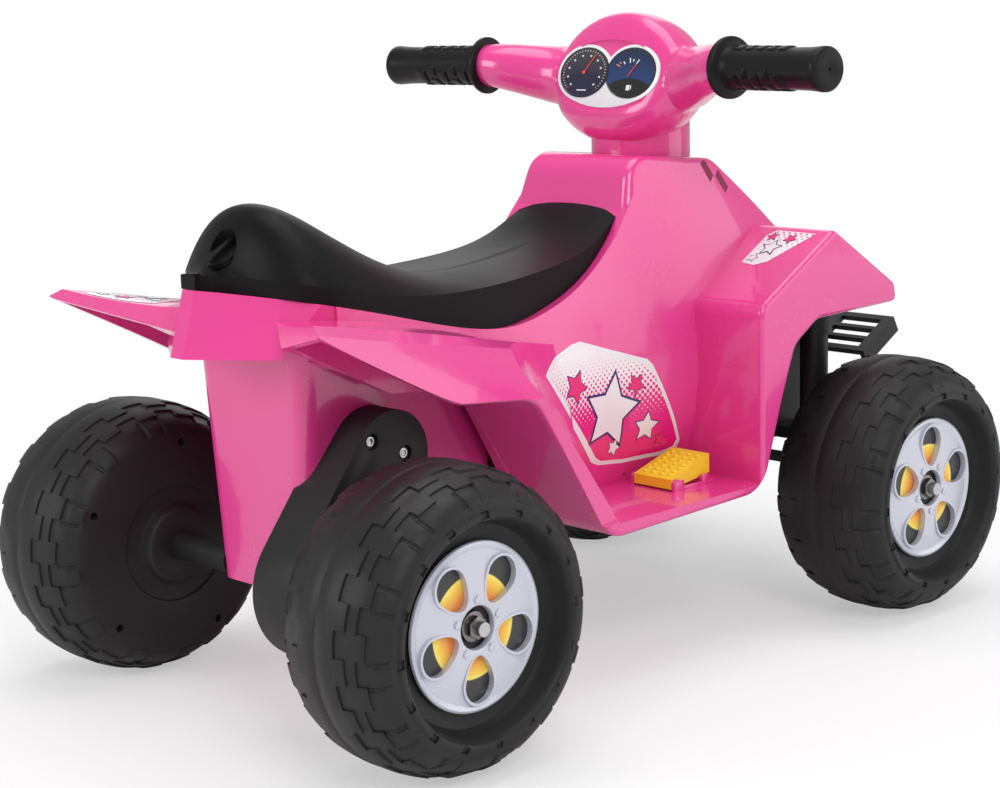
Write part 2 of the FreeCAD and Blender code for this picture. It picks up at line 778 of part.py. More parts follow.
def gear_case():
    spots = [(-half_base, wheel_radius, case_axle_radius), (motor_x, motor_z, case_motor_radius)]
    ear = [
        (motor_x, motor_z, case_motor_radius),
        (motor_x + case_ear_ahead, motor_z - case_ear_drop, case_ear_radius),
    ]
    case_inner = tub_low_shares[2] * body_half_width - case_lap
    case = lobe_plate(spots, -case_outer, -case_inner).fuse(lobe_plate(ear, -case_outer, -case_inner))
    boss = axle_rod(bush_radius, bush_gap - hub_face(), -case_inner, -half_base)
    case = case.fuse(boss).cut(tub_solid(0))
    return case.cut(axle_rod(axle_radius, -track_half, track_half, -half_base)).removeSplitter()


def drive_motor(case):
    start = Vector(motor_x, -case_outer, motor_z)
    can = Part.makeCylinder(motor_radius, motor_length, start, Vector(0, 1, 0))
    tail = Part.makeCylinder(spindle_radius, motor_length + motor_tail, start, Vector(0, 1, 0))
    return can.fuse(tail).cut(case)


def battery():
    low = tub_bottom + tub_wall
    case = block(battery_rear, battery_rear + battery_length, -battery_width / 2, battery_width / 2,
                 low, low + battery_height)
    poles = []
    for side in (1, -1):
        y = side * battery_width * pole_share
        x = battery_rear + battery_length / 2
        poles.append(block(x - pole_size, x + pole_size, y - pole_size / 2, y + pole_size / 2,
                           low + battery_height, low + battery_height + pole_size))
    return case.fuse(poles)


# Handlebar
def head_solid(grow):
    rings = []
    right_shares = [(-place, back, rise, size) for place, back, rise, size in head_ring_shares[:0:-1]]
    for place_share, back_share, rise_share, size_share in right_shares + head_ring_shares:
        centre = Vector(
            head_x - back_share * (head_x - grip_x), place_share * grip_inner_y,
            head_z + rise_share * (grip_z - head_z))
        rings.append(Part.Wire(Part.makeCircle(size_share * head_radius + grow, centre, Vector(0, 1, 0))))
    return Part.makeLoft(rings, True, False)


def dash_block(depth, height, half_width):
    slab = block(-depth, 0, -half_width, half_width, -height, height)
    return dash_placed(slab)


def dash_placed(shape):
    placed = shape.copy()
    placed.rotate(Vector(0, 0, 0), Vector(0, 1, 0), dash_tilt)
    placed.translate(Vector(dash_x, 0, dash_z))
    return placed


def dash_plate_solid(back, front, grow):
    lobes = []
    for side in (1, -1):
        centre = Vector(-front, side * dash_lobe_y, dash_lobe_z)
        lobes.append(Part.makeCylinder(dash_lobe_radius + grow, front - back, centre, Vector(1, 0, 0)))
    spare = dash_chin_drop - dash_lobe_radius
    chin_z = (dash_lobe_y ** 2 + dash_lobe_z ** 2 - spare ** 2) / (2 * (dash_lobe_z + spare))
    lobe = Vector(-front, dash_lobe_y, dash_lobe_z)
    touch = lobe + (lobe - Vector(-front, 0, chin_z)).normalize() * (dash_lobe_radius + grow)
    bottom = Vector(-front, 0, -dash_chin_drop - grow)
    far_touch = Vector(-front, -touch.y, touch.z)
    far_lobe = Vector(-front, -lobe.y, lobe.z)
    edges = [
        Part.Arc(touch, bottom, far_touch).toShape(), Part.makeLine(far_touch, far_lobe),
        Part.makeLine(far_lobe, lobe), Part.makeLine(lobe, touch),
    ]
    chin = Part.Face(Part.Wire(edges)).extrude(Vector(front - back, 0, 0))
    return dash_placed(lobes[0].fuse([lobes[1], chin]).removeSplitter())


def cover_body():
    face = dash_block(head_radius, head_radius + cut_overrun, dash_half_width)
    cover = head_solid(0).cut(face)
    recess = dash_plate_solid(-dash_depth, cut_overrun, running_gap)
    stem = Part.makeCylinder(column_radius + stem_gap, grip_z - collar_bottom, Vector(steering_x, 0, collar_bottom))
    return cover.cut([recess, stem, handlebar_tube(bar_radius + running_gap)])


def seam_prism():
    seam_x = head_x - seam_shares[1] * (head_x - grip_x)
    seam_y = seam_shares[0] * grip_inner_y
    points = [
        Vector(0, -grip_end, 0), Vector(grip_x, -grip_end, 0), Vector(grip_x, -grip_inner_y, 0),
        Vector(seam_x, -seam_y, 0), Vector(seam_x, seam_y, 0), Vector(grip_x, grip_inner_y, 0),
        Vector(grip_x, grip_end, 0), Vector(0, grip_end, 0),
    ]
    face = Part.Face(Part.makePolygon(points + [points[0]]))
    return face.extrude(Vector(0, 0, head_z + head_radius + cut_overrun))


def handlebar_tube(radius):
    points = [
        Vector(grip_x, -bar_end, grip_z), Vector(grip_x, -bar_corner_y, grip_z),
        Vector(steering_x, -bar_bend_y, grip_z), Vector(steering_x, bar_bend_y, grip_z),
        Vector(grip_x, bar_corner_y, grip_z), Vector(grip_x, bar_end, grip_z),
    ]
    rounds = [0, bar_bend_round, bar_bend_round, bar_bend_round, bar_bend_round, 0]
    path = Part.Wire(rounded_edges(points, rounds, False))
    ring = Part.Wire(Part.makeCircle(radius, points[0], Vector(0, 1, 0)))
    return path.makePipeShell([ring], True, False)


def grip(side):
    length = grip_end - grip_inner_y
    bore = bar_radius + bearing_gap
    depth = bar_end + bearing_gap - grip_inner_y
    points = [
        Vector(bore, 0, 0), Vector(grip_flange_radius, 0, 0), Vector(grip_flange_radius, grip_flange, 0),
        Vector(grip_radius, grip_flange + grip_taper, 0), Vector(grip_radius, length - grip_taper, 0),
        Vector(grip_radius - grip_taper, length, 0), Vector(0, length, 0), Vector(0, depth, 0),
        Vector(bore, depth, 0),
    ]
    sleeve = Part.Face(Part.makePolygon(points + [points[0]])).revolve(Vector(0, 0, 0), Vector(0, 1, 0), 360)
    sleeve.translate(Vector(grip_x, grip_inner_y, grip_z))
    return sleeve if side > 0 else mirrored(sleeve)


def neck_collar():
    height = collar_top - collar_bottom
    foot = Vector(steering_x, 0, collar_bottom)
    collar = Part.makeCylinder(collar_radius, height, foot)
    inside = Part.makeCylinder(collar_radius - collar_wall, height, foot + Vector(0, 0, collar_wall))
    stem = Part.makeCylinder(column_radius, height, foot)
    return collar.cut([inside, stem, head_solid(running_gap)])


# Steering
def carrier_top():
    return body_height(tank_line_shares[-1][1]) - shell_wall


def flat_arm(start, end, half_width, low, high):
    spots = [Vector(start[0], start[1], low), Vector(end[0], end[1], low)]
    tall = Vector(0, 0, high - low)
    ends = [Part.makeCylinder(half_width, high - low, spot) for spot in spots]
    across = (spots[1] - spots[0]).cross(Vector(0, 0, 1)).normalize() * half_width
    corners = [spots[0] + across, spots[1] + across, spots[1] - across, spots[0] - across]
    bar = Part.Face(Part.makePolygon(corners + [corners[0]])).extrude(tall)
    return ends[0].fuse([ends[1], bar]).removeSplitter()


def upright_pin(spot, radius, low, high):
    return Part.makeCylinder(radius, high - low, Vector(spot[0], spot[1], low))


def steering_column():
    rod = upright_pin((steering_x, 0), column_radius, arm_low, grip_z)
    crank = flat_arm((steering_x, 0), crank_spot, arm_half_width, arm_low, arm_high)
    pin = upright_pin(crank_spot, link_pin_radius, link_low - link_pin_tail, arm_low)
    collar = upright_pin((steering_x, 0), arm_half_width, arm_low, bearing_low - running_gap)
    return rod.fuse([crank, pin, collar]).cut(handlebar_tube(bar_radius))


def link_bar(start, end, low, high):
    bar = flat_arm(start, end, arm_half_width, low, high)
    holes = [upright_pin(start, link_pin_radius + bearing_gap, low, high)]
    holes.append(upright_pin(end, link_pin_radius + link_gap, low, high))
    return bar.cut(holes)


def knuckle(side):
    king = (half_base, side * king_y)
    rear_end = (half_base - tie_arm, side * king_y)
    upper_lug_low = carrier_top() - upper_lug_thickness
    strut = upright_pin(king, strut_radius, lower_lug_top + running_gap, upper_lug_low - running_gap)
    kingpin = upright_pin(king, kingpin_radius, arm_low, upper_lug_low + kingpin_reach)
    foot = upright_pin(king, foot_radius, wheel_radius - foot_drop, lower_lug_low - running_gap)
    arm = flat_arm(king, rear_end, arm_half_width, arm_low, arm_high)
    pin = upright_pin(rear_end, link_pin_radius, arm_high, tie_high + link_pin_tail)
    pieces = [kingpin, foot, arm, pin]
    if side > 0:
        pieces.append(flat_arm(king, drag_spot, arm_half_width, arm_low, arm_high))
        pieces.append(upright_pin(drag_spot, link_pin_radius, link_low - link_pin_tail, arm_low))
    hole_low, hole_high = sorted((side * (king_y - foot_radius + running_gap), side * track_half))
    return strut.fuse(pieces).cut(axle_rod(axle_radius, hole_low, hole_high, half_base))


def stub_axle(side):
    low, high = sorted((side * (king_y - foot_radius + running_gap), side * axle_end))
    return axle_rod(axle_radius, low, high, half_base)


# Front carrier, rail and bumper
def front_carrier():
    top = carrier_top()
    upper_lug_low = top - upper_lug_thickness
    case = block(carrier_rear, carrier_front, -carrier_half, carrier_half, carrier_bottom, top)
    inside = block(carrier_rear + carrier_wall, carrier_front - carrier_wall, carrier_wall - carrier_half,
                   carrier_half - carrier_wall, 0, top - carrier_wall)
    pieces = [block(carrier_rear, carrier_front, -flange_half, flange_half, top - carrier_wall, top)]
    for setback in rib_setbacks:
        x = half_base - setback
        pieces.append(block(x, x + carrier_wall, -carrier_half, carrier_half, top - rib_depth, top))
    shelf_front = steering_x + column_radius + shelf_reach
    pieces.append(block(carrier_rear, shelf_front, -carrier_half, carrier_half, bearing_low, bearing_high))
    pieces.append(block(carrier_rear, carrier_rear + carrier_wall, -rail_half, rail_half, rail_bottom, carrier_bottom))
    for side in (1, -1):
        king = (half_base, side * king_y)
        root = (half_base, side * (carrier_half - carrier_wall))
        pieces.append(flat_arm(root, king, lug_radius, lower_lug_low, lower_lug_top).cut(inside))
        pieces.append(flat_arm(root, king, lug_radius, upper_lug_low, top).cut(inside))
    carrier = case.cut(inside).fuse(pieces)
    holes = [upright_pin((steering_x, 0), column_radius + bearing_gap, 0, tank_height)]
    for side in (1, -1):
        king = (half_base, side * king_y)
        holes.append(upright_pin(king, kingpin_radius + bearing_gap, 0, upper_lug_low + kingpin_reach + running_gap))
    return carrier.cut(holes).removeSplitter()


def chassis_rail():
    top = floor_height - shell_wall
    tub_front = tub_high_shares[1] * half_base
    points = [
        Vector(tub_front - cut_overrun, wing_half, top), Vector(tub_front - cut_overrun, wing_half, top - rail_wall),
        Vector(tub_front - cut_overrun, rail_half + rail_slope, top - rail_wall),
        Vector(tub_front - cut_overrun, rail_half, rail_bottom),
    ]
    inner = [
        Vector(tub_front - cut_overrun, rail_half - rail_wall, rail_bottom + rail_wall),
        Vector(tub_front - cut_overrun, rail_half + rail_slope - rail_wall, top),
    ]
    right = [Vector(point.x, -point.y, point.z) for point in reversed(points)]
    inner_right = [Vector(point.x, -point.y, point.z) for point in reversed(inner)]
    ring = points + right + inner_right + inner
    face = Part.Face(Part.makePolygon(ring + [ring[0]]))
    rail = face.extrude(Vector(carrier_rear - tub_front + cut_overrun, 0, 0))
    heel = rim_shares[3][0] * half_base + floor_rim + running_gap
    toe = leg_space_shares[0][1][-1][0] * half_base + shell_wall - floor_rim - running_gap
    under_heel = block(tub_front - 2 * cut_overrun, heel, -body_half_width, body_half_width, rail_heel, tank_height)
    under_toe = block(toe, steering_x, -body_half_width, body_half_width, rail_heel, tank_height)
    return rail.cut([tub_solid(0), under_heel, under_toe])


def front_bumper():
    plate = block(0, bumper_length, -bumper_half, bumper_half, 0, bumper_thickness)
    pitch = (bumper_length - bumper_border * 2 + slot_bar) / slot_count
    slots = []
    for row in range(slot_count):
        start = bumper_border + row * pitch
        for low, high in ((slot_inner, slot_outer), (-slot_outer, -slot_inner)):
            slots.append(block(start, start + pitch - slot_bar, low, high, -cut_overrun, cut_overrun))
    plate = plate.cut(slots)
    cheeks = []
    for low in (-bumper_half, bumper_half - bumper_thickness):
        cheeks.append(block(0, bumper_length, low, low + bumper_thickness, -cheek_drop, bumper_thickness))
    plate = plate.fuse(cheeks)
    plate.rotate(Vector(0, 0, 0), Vector(0, 1, 0), -bumper_tilt)
    plate.translate(Vector(bumper_x, 0, bumper_z))
    arms = []
    for side in (1, -1):
        low, high = sorted((side * bumper_arm_in, side * bumper_arm_out))
        arms.append(block(carrier_front, bumper_x + bumper_arm_reach, low, high, bumper_z - bumper_arm_drop,
                          bumper_z + bumper_thickness))
    return plate.fuse(arms).removeSplitter()


# Wheels
def wheel(side, x):
    points = [Vector(0, y_share * tyre_width / 2, 0) for y_share, r_share in wheel_section_shares]
    for point, (y_share, r_share) in zip(points, wheel_section_shares):
        point.x = r_share * wheel_radius
    points[0].x = axle_radius + bearing_gap
    points[-1].x = axle_radius + bearing_gap
    solid = Part.Face(Part.makePolygon(points + [points[0]])).revolve(Vector(0, 0, 0), Vector(0, 1, 0), 360)
    cavity_points = [Vector(r * wheel_radius, y * tyre_width / 2, 0) for y, r in cavity_section_shares]
    cavity_face = Part.Face(Part.makePolygon(cavity_points + [cavity_points[0]]))
    solid = solid.cut(cavity_face.revolve(Vector(0, 0, 0), Vector(0, 1, 0), 360))
    drains = []
    for turn in range(drain_count):
        angle = (turn + 0.5) * 2 * math.pi / drain_count
        spot = Vector(math.cos(angle) * drain_place, -tyre_width, math.sin(angle) * drain_place)
        drains.append(Part.makeCylinder(drain_radius, tyre_width, spot, Vector(0, 1, 0)))
    solid = solid.cut(drains)
    if side < 0:
        solid = mirrored(solid)
    solid.translate(Vector(x, side * track_half, wheel_radius))
    return solid


def hubcap(side, x):
    seat_y = wheel_section_shares[-1][0] * tyre_width / 2
    points = [
        Vector(hub_hole, seat_y, 0), Vector(cap_radius, seat_y, 0), Vector(cap_radius, seat_y + cap_rim, 0),
        Vector(cap_radius - cap_rim, seat_y + cap_rim, 0), Vector(hub_hole + cap_rim, seat_y + cap_dome, 0),
        Vector(hub_hole, seat_y + cap_dome, 0),
    ]
    disc = Part.Face(Part.makePolygon(points + [points[0]])).revolve(Vector(0, 0, 0), Vector(0, 1, 0), 360)
    windows = []
    for turn in range(window_count):
        window = lobe_plate([(0, window_far, window_wide), (0, window_near, window_narrow)],
                            seat_y + cap_floor, seat_y + cut_overrun)
        window.rotate(Vector(0, 0, 0), Vector(0, 1, 0), turn * 360 / window_count)
        windows.append(window)
    disc = disc.cut(windows)
    if side < 0:
        disc = mirrored(disc)
    disc.translate(Vector(x, side * track_half, wheel_radius))
    return disc


def axle_nut(side, x):
    seat_y = track_half + wheel_section_shares[-1][0] * tyre_width / 2 + running_gap
    corners = []
    for turn in range(6):
        angle = turn * math.pi / 3
        corners.append(Vector(x + math.cos(angle) * nut_radius, seat_y, wheel_radius + math.sin(angle) * nut_radius))
    nut = Part.Face(Part.makePolygon(corners + [corners[0]])).extrude(Vector(0, nut_height, 0))
    nut = nut.cut(axle_rod(axle_radius, 0, axle_end + cut_overrun, x))
    return nut if side > 0 else mirrored(nut)


# Pedal
def pedal():
    points = [
        Vector(pedal_rear, 0, pedal_rear_low), Vector(pedal_front, 0, pedal_front_low),
        Vector(pedal_front, 0, pedal_front_high), Vector(pedal_rear, 0, pedal_rear_high),
    ]
    face = Part.Face(Part.makePolygon(points + [points[0]]))
    face.translate(Vector(0, pedal_right, 0))
    wedge = face.extrude(Vector(0, pedal_left - pedal_right, 0))
    lowered = wedge.translated(Vector(0, 0, -pedal_wall))
    inner = lowered.common(block(pedal_rear + pedal_boss, pedal_front - pedal_wall, pedal_right + pedal_wall,
                                 pedal_left - pedal_wall, 0, tank_height))
    inner = inner.fuse(inner.translated(Vector(0, 0, -pedal_wall)))
    hole = Part.makeCylinder(pin_radius + bearing_gap, body_half_width, Vector(hinge_x, -body_half_width, hinge_z),
                             Vector(0, 1, 0))
    return wedge.cut([inner, hole])


def pedal_pin():
    start = pedal_right - pedal_side_gap - ear_thickness
    length = pedal_left - pedal_right + 2 * (pedal_side_gap + ear_thickness)
    return Part.makeCylinder(pin_radius, length, Vector(hinge_x, start, hinge_z), Vector(0, 1, 0))


def pedal_switch():
    middle = (pedal_left + pedal_right) / 2
    case = block(switch_x, switch_x + switch_length, middle - switch_width / 2, middle + switch_width / 2,
                 floor_height, floor_height + switch_height)
    plunger = Part.makeCylinder(pin_radius, plunger_rise, Vector(switch_x + switch_length / 2, middle,
                                floor_height + switch_height))
    return case.fuse(plunger)


def dash_plate():
    return dash_plate_solid(-dash_depth, dash_thickness - dash_depth, 0)


cover = cover_body()
seam = seam_prism()
case = gear_case()
pieces = {
    "body_shell": body_shell(),
    "seat": seat(),
    "seat_lock": seat_lock(),
    "rear_tub": rear_tub(),
    "gear_case": case,
    "drive_motor": drive_motor(case),
    "battery": battery(),
    "cover_rear": cover.common(seam),
    "cover_front": cover.cut(seam),
    "dash_plate": dash_plate(),
    "handlebar_tube": handlebar_tube(bar_radius),
    "grip_left": grip(1),
    "grip_right": grip(-1),
    "neck_collar": neck_collar(),
    "steering_column": steering_column(),
    "drag_link": link_bar(crank_spot, drag_spot, link_low, link_high),
    "tie_rod": link_bar((half_base - tie_arm, king_y), (half_base - tie_arm, -king_y), tie_low, tie_high),
    "front_carrier": front_carrier(),
    "chassis_rail": chassis_rail(),
    "front_bumper": front_bumper(),
    "axle_bush": axle_bush(),
    "rear_axle": axle_rod(axle_radius, -axle_end, axle_end, -half_base),
    "pedal": pedal(),
    "pedal_pin": pedal_pin(),
    "pedal_switch": pedal_switch(),
}
for side, word in ((1, "left"), (-1, "right")):
    pieces["knuckle_" + word] = knuckle(side)
    pieces["stub_axle_" + word] = stub_axle(side)
    for x, place in ((half_base, "front_"), (-half_base, "rear_")):
        pieces["wheel_" + place + word] = wheel(side, x)
        pieces["hubcap_" + place + word] = hubcap(side, x)
        pieces["nut_" + place + word] = axle_nut(side, x)

os.makedirs("parts", exist_ok=True)
for name, shape in pieces.items():
    shape.exportStep("parts/" + name + ".step")
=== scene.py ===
import json
import math
import bpy
from mathutils import Matrix, Vector


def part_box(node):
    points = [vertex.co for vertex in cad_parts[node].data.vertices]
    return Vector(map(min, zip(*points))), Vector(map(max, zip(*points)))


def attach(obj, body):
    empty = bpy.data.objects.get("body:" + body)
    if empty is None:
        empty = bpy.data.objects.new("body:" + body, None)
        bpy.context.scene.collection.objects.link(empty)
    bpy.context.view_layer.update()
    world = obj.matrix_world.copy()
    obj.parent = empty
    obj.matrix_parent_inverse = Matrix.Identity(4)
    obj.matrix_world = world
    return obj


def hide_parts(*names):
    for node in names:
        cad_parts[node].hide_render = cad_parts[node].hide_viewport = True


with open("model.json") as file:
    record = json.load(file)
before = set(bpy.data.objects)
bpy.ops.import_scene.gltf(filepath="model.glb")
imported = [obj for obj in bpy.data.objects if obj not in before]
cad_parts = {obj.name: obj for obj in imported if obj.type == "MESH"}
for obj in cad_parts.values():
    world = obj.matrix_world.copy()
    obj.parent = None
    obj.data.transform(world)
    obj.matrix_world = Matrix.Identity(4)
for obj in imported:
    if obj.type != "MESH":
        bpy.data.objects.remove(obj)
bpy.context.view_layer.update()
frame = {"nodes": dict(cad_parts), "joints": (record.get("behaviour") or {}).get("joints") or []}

nodes = frame["nodes"]
spinSpots = {j["child"]: Vector(j["pos_m"]) for j in frame["joints"] if j["name"].startswith("spin_")}
mergeReach = 0.00002           # points closer than this become one
cutReach = 0.000001            # the same for points on a cut
layDown = math.pi / 2          # turns an upright cylinder so that it lies across the bike
print("frame loaded:", len(nodes), "nodes")


# small helpers for modelling by operator
def clearChoice():
    if bpy.context.object and bpy.context.object.mode != "OBJECT":
        bpy.ops.object.mode_set(mode="OBJECT")
    bpy.ops.object.select_all(action="DESELECT")


def makeActive(piece):
    clearChoice()
    piece.select_set(True)
    bpy.context.view_layer.objects.active = piece


def endEdit():
    bpy.ops.object.mode_set(mode="OBJECT")


def editAll(piece):
    makeActive(piece)
    bpy.ops.object.mode_set(mode="EDIT")
    bpy.ops.mesh.select_all(action="SELECT")


def chooseFaces(piece, test):
    # leaves the piece in edit mode
    makeActive(piece)
    bpy.context.tool_settings.mesh_select_mode = (False, False, True)
    mesh = piece.data
    mesh.edges.foreach_set("select", [False] * len(mesh.edges))
    mesh.vertices.foreach_set("select", [False] * len(mesh.vertices))
    for face in mesh.polygons:
        face.select = test(face.center, face.normal)
    bpy.ops.object.mode_set(mode="EDIT")


def choosePoints(piece, test):
    # leaves the piece in edit mode and counts what was chosen
    makeActive(piece)
    bpy.context.tool_settings.mesh_select_mode = (True, False, False)
    bpy.ops.object.mode_set(mode="EDIT")
    bpy.ops.mesh.select_all(action="DESELECT")
    endEdit()
    found = [vertex for vertex in piece.data.vertices if test(vertex)]
    for vertex in found:
        vertex.select = True
    bpy.ops.object.mode_set(mode="EDIT")
    return len(found)


def facesUp(centre, normal):
    return normal.z > 0.9


def raiseFaces(piece, test, height):
    chooseFaces(piece, test)
    bpy.ops.mesh.extrude_region_shrink_fatten(TRANSFORM_OT_shrink_fatten={"value": height})
    endEdit()


def applyModifier(piece, kind, **values):
    makeActive(piece)
    bpy.ops.object.modifier_add(type=kind)
    modifier = piece.modifiers[-1]
    for key, value in values.items():
        setattr(modifier, key, value)
    bpy.ops.object.modifier_apply(modifier=modifier.name)


def combine(piece, tool, action="DIFFERENCE"):
    applyModifier(piece, "BOOLEAN", operation=action, object=tool, solver="EXACT")
    bpy.data.objects.remove(tool)


def softEdges(piece, width, angle=35, segments=2):
    applyModifier(piece, "BEVEL", width=width, segments=segments, limit_method="ANGLE",
                  angle_limit=math.radians(angle), harden_normals=False)


def smoothByAngle(piece, angle):
    makeActive(piece)
    bpy.ops.object.shade_smooth_by_angle(angle=math.radians(angle))


def settle(piece):
    makeActive(piece)
    bpy.ops.object.transform_apply(location=True, rotation=True, scale=True)


def joinAll(pieces):
    # the first piece takes in the others
    clearChoice()
    for piece in pieces:
        piece.select_set(True)
    bpy.context.view_layer.objects.active = pieces[0]
    bpy.ops.object.join()
    return pieces[0]


def copyOf(piece, name):
    twin = piece.copy()
    twin.data = piece.data.copy()
    twin.name = name
    bpy.context.scene.collection.objects.link(twin)
    return twin


def drawnLine(name, spots):
    # a closed line, extruded point by point, left in edit mode with all of it chosen
    clearChoice()
    bpy.ops.mesh.primitive_plane_add(size=0.01, location=(0, 0, 0))
    piece = bpy.context.object
    piece.name = name
    bpy.ops.object.mode_set(mode="EDIT")
    bpy.context.tool_settings.mesh_select_mode = (True, False, False)
    bpy.ops.mesh.select_all(action="SELECT")
    bpy.ops.mesh.merge(type="CENTER")
    bpy.ops.transform.translate(value=spots[0])
    for start, end in zip(spots, spots[1:] + spots[:1]):
        bpy.ops.mesh.extrude_vertices_move(TRANSFORM_OT_translate={"value": end - start})
    bpy.ops.mesh.select_all(action="SELECT")
    return piece


def spunPiece(name, outline, middle, side, turns):
    # the outline is given as distance from the axis and way along it
    piece = drawnLine(name, [Vector((middle.x + r, middle.y + side * a, middle.z)) for r, a in outline])
    bpy.ops.mesh.spin(steps=turns, angle=2 * math.pi, center=middle, axis=(0, 1, 0))
    bpy.ops.mesh.select_all(action="SELECT")
    bpy.ops.mesh.remove_doubles(threshold=mergeReach)
    bpy.ops.mesh.normals_make_consistent(inside=False)
    endEdit()
    return piece


def roundPlace(spot, middle, side, turns):
    # arm from the axis, way along it and number of the segment on a spun piece
    arm = Vector((spot.x - middle.x, 0, spot.z - middle.z))
    turn = math.atan2(arm.z, arm.x) % (2 * math.pi)
    return arm, side * (spot.y - middle.y), int(turn / (2 * math.pi) * turns)


def roundSpot(middle, far, angle, along):
    return middle + Vector((math.cos(angle) * far, along, math.sin(angle) * far))


def drum(corners, radius, height, spot, turn=0):
    clearChoice()
    bpy.ops.mesh.primitive_cylinder_add(vertices=corners, radius=radius, depth=height, location=spot,
                                        rotation=(turn, 0, 0))
    piece = bpy.context.object
    settle(piece)
    return piece


def roundBlock(name, size, middle, width):
    # a block with bevelled edges, or sharp ones where the width is 0
    clearChoice()
    bpy.ops.mesh.primitive_cube_add(size=1, location=middle)
    piece = bpy.context.object
    piece.name = name
    piece.scale = size
    settle(piece)
    if width > 0:
        softEdges(piece, width)
    return piece


def setFinish(piece, finish):
    piece.data.materials.clear()
    piece.data.materials.append(finish)


# shared surface effects
def setSockets(node, sockets):
    for label, value in sockets.items():
        node.inputs[label].default_value = value


def addNode(tree, kind, sockets=None, **settings):
    node = tree.nodes.new(kind)
    for key, value in settings.items():
        setattr(node, key, value)
    setSockets(node, sockets or {})
    return node


def wire(tree, *runs):
    for start, outLabel, end, inLabel in runs:
        tree.links.new(start.outputs[outLabel], end.inputs[inLabel])


def newGroup(name, inputs, outputs):
    group = bpy.data.node_groups.new(name, "ShaderNodeTree")
    for label, value in inputs.items():
        socket = group.interface.new_socket(name=label, in_out="INPUT", socket_type="NodeSocketFloat")
        socket.default_value = value
    for label in outputs:
        group.interface.new_socket(name=label, in_out="OUTPUT", socket_type="NodeSocketFloat")
    return group, group.nodes.new("NodeGroupInput"), group.nodes.new("NodeGroupOutput")


def mouldGrainGroup():
    # fine moulded skin: grain height, worn gloss and a slight drift of the colour
    group, enter, leave = newGroup(
        "mouldGrain", {"Grain Scale": 900.0, "Cloud Scale": 9.0, "Rough Low": 0.2, "Rough High": 0.4},
        ["Height", "Roughness", "Drift"])
    where = addNode(group, "ShaderNodeTexCoord")
    grain = addNode(group, "ShaderNodeTexNoise", {"Detail": 3})
    cloud = addNode(group, "ShaderNodeTexNoise", {"Detail": 5})
    fine = addNode(group, "ShaderNodeMapRange", {"From Min": 0.3, "From Max": 0.7},
                   interpolation_type="SMOOTHSTEP")
    wire(group, (where, "Object", grain, "Vector"), (where, "Object", cloud, "Vector"),
         (enter, "Grain Scale", grain, "Scale"), (enter, "Cloud Scale", cloud, "Scale"),
         (cloud, "Fac", fine, "Value"), (enter, "Rough Low", fine, "To Min"),
         (enter, "Rough High", fine, "To Max"), (grain, "Fac", leave, "Height"),
         (fine, "Result", leave, "Roughness"), (cloud, "Fac", leave, "Drift"))
    return group


def scuffGroup():
    # sparse hair scratches and dust specks
    group, enter, leave = newGroup("scuffMarks", {"Scratch Scale": 60.0, "Speck Scale": 420.0},
                                   ["Scratch", "Speck"])
    where = addNode(group, "ShaderNodeTexCoord")
    stretch = addNode(group, "ShaderNodeMapping", {"Rotation": (0.4, 0.7, 0.3), "Scale": (0.012, 1.0, 0.5)})
    hair = addNode(group, "ShaderNodeTexNoise", {"Detail": 2})
    hairCut = addNode(group, "ShaderNodeMapRange", {"From Min": 0.66, "From Max": 0.72})
    dots = addNode(group, "ShaderNodeTexVoronoi")
    dotCut = addNode(group, "ShaderNodeMapRange", {"From Min": 0.10, "From Max": 0.04})
    wire(group, (where, "Object", stretch, "Vector"), (stretch, "Vector", hair, "Vector"),
         (enter, "Scratch Scale", hair, "Scale"), (hair, "Fac", hairCut, "Value"),
         (where, "Object", dots, "Vector"), (enter, "Speck Scale", dots, "Scale"),
         (dots, "Distance", dotCut, "Value"), (hairCut, "Result", leave, "Scratch"),
         (dotCut, "Result", leave, "Speck"))
    return group


mouldGrain = mouldGrainGroup()
scuffMarks = scuffGroup()


def newFinish(name, rough):
    # a material with the moulded grain ready to be wired to its shader
    finish = bpy.data.materials.new(name)
    finish.use_nodes = True
    tree = finish.node_tree
    grain = addNode(tree, "ShaderNodeGroup", {"Rough Low": rough[0], "Rough High": rough[1]},
                    node_tree=mouldGrain)
    return finish, tree, tree.nodes["Principled BSDF"], grain


def mixNode(tree, sockets):
    return addNode(tree, "ShaderNodeMix", sockets, data_type="RGBA")


plainLook = {"wear": 0.25, "scratchRough": 0.25, "bumpDepth": 0.0002, "metal": 0.0, "coat": 0.0, "shine": 0.5}


def plasticFinish(name, look):
    # base colour drifting between two tones, specks of a worn one, grain bump, scuffs in gloss
    values = {**plainLook, **look}
    finish, tree, shader, grain = newFinish(name, values["rough"])
    first, second, wornTone = [(*tone, 1) for tone in values["tones"]]
    setSockets(grain, {"Grain Scale": values["grainScale"]})
    scuff = addNode(tree, "ShaderNodeGroup", node_tree=scuffMarks)
    tone = mixNode(tree, {6: first, 7: second})
    worn = mixNode(tree, {7: wornTone})
    wornPart = addNode(tree, "ShaderNodeMath", {1: values["wear"]}, operation="MULTIPLY")
    gloss = addNode(tree, "ShaderNodeMath", {1: values["scratchRough"]}, operation="MULTIPLY_ADD")
    bump = addNode(tree, "ShaderNodeBump", {"Strength": values["bump"], "Distance": values["bumpDepth"]})
    wire(tree, (grain, "Drift", tone, 0), (scuff, "Speck", wornPart, 0), (wornPart, 0, worn, 0),
         (tone, 2, worn, 6), (worn, 2, shader, "Base Color"), (scuff, "Scratch", gloss, 0),
         (grain, "Roughness", gloss, 2), (gloss, 0, shader, "Roughness"),
         (grain, "Height", bump, "Height"), (bump, "Normal", shader, "Normal"))
    setSockets(shader, {"Metallic": values["metal"], "Coat Weight": values["coat"], "Coat Roughness": 0.06,
                        "Specular IOR Level": values["shine"]})
    return finish


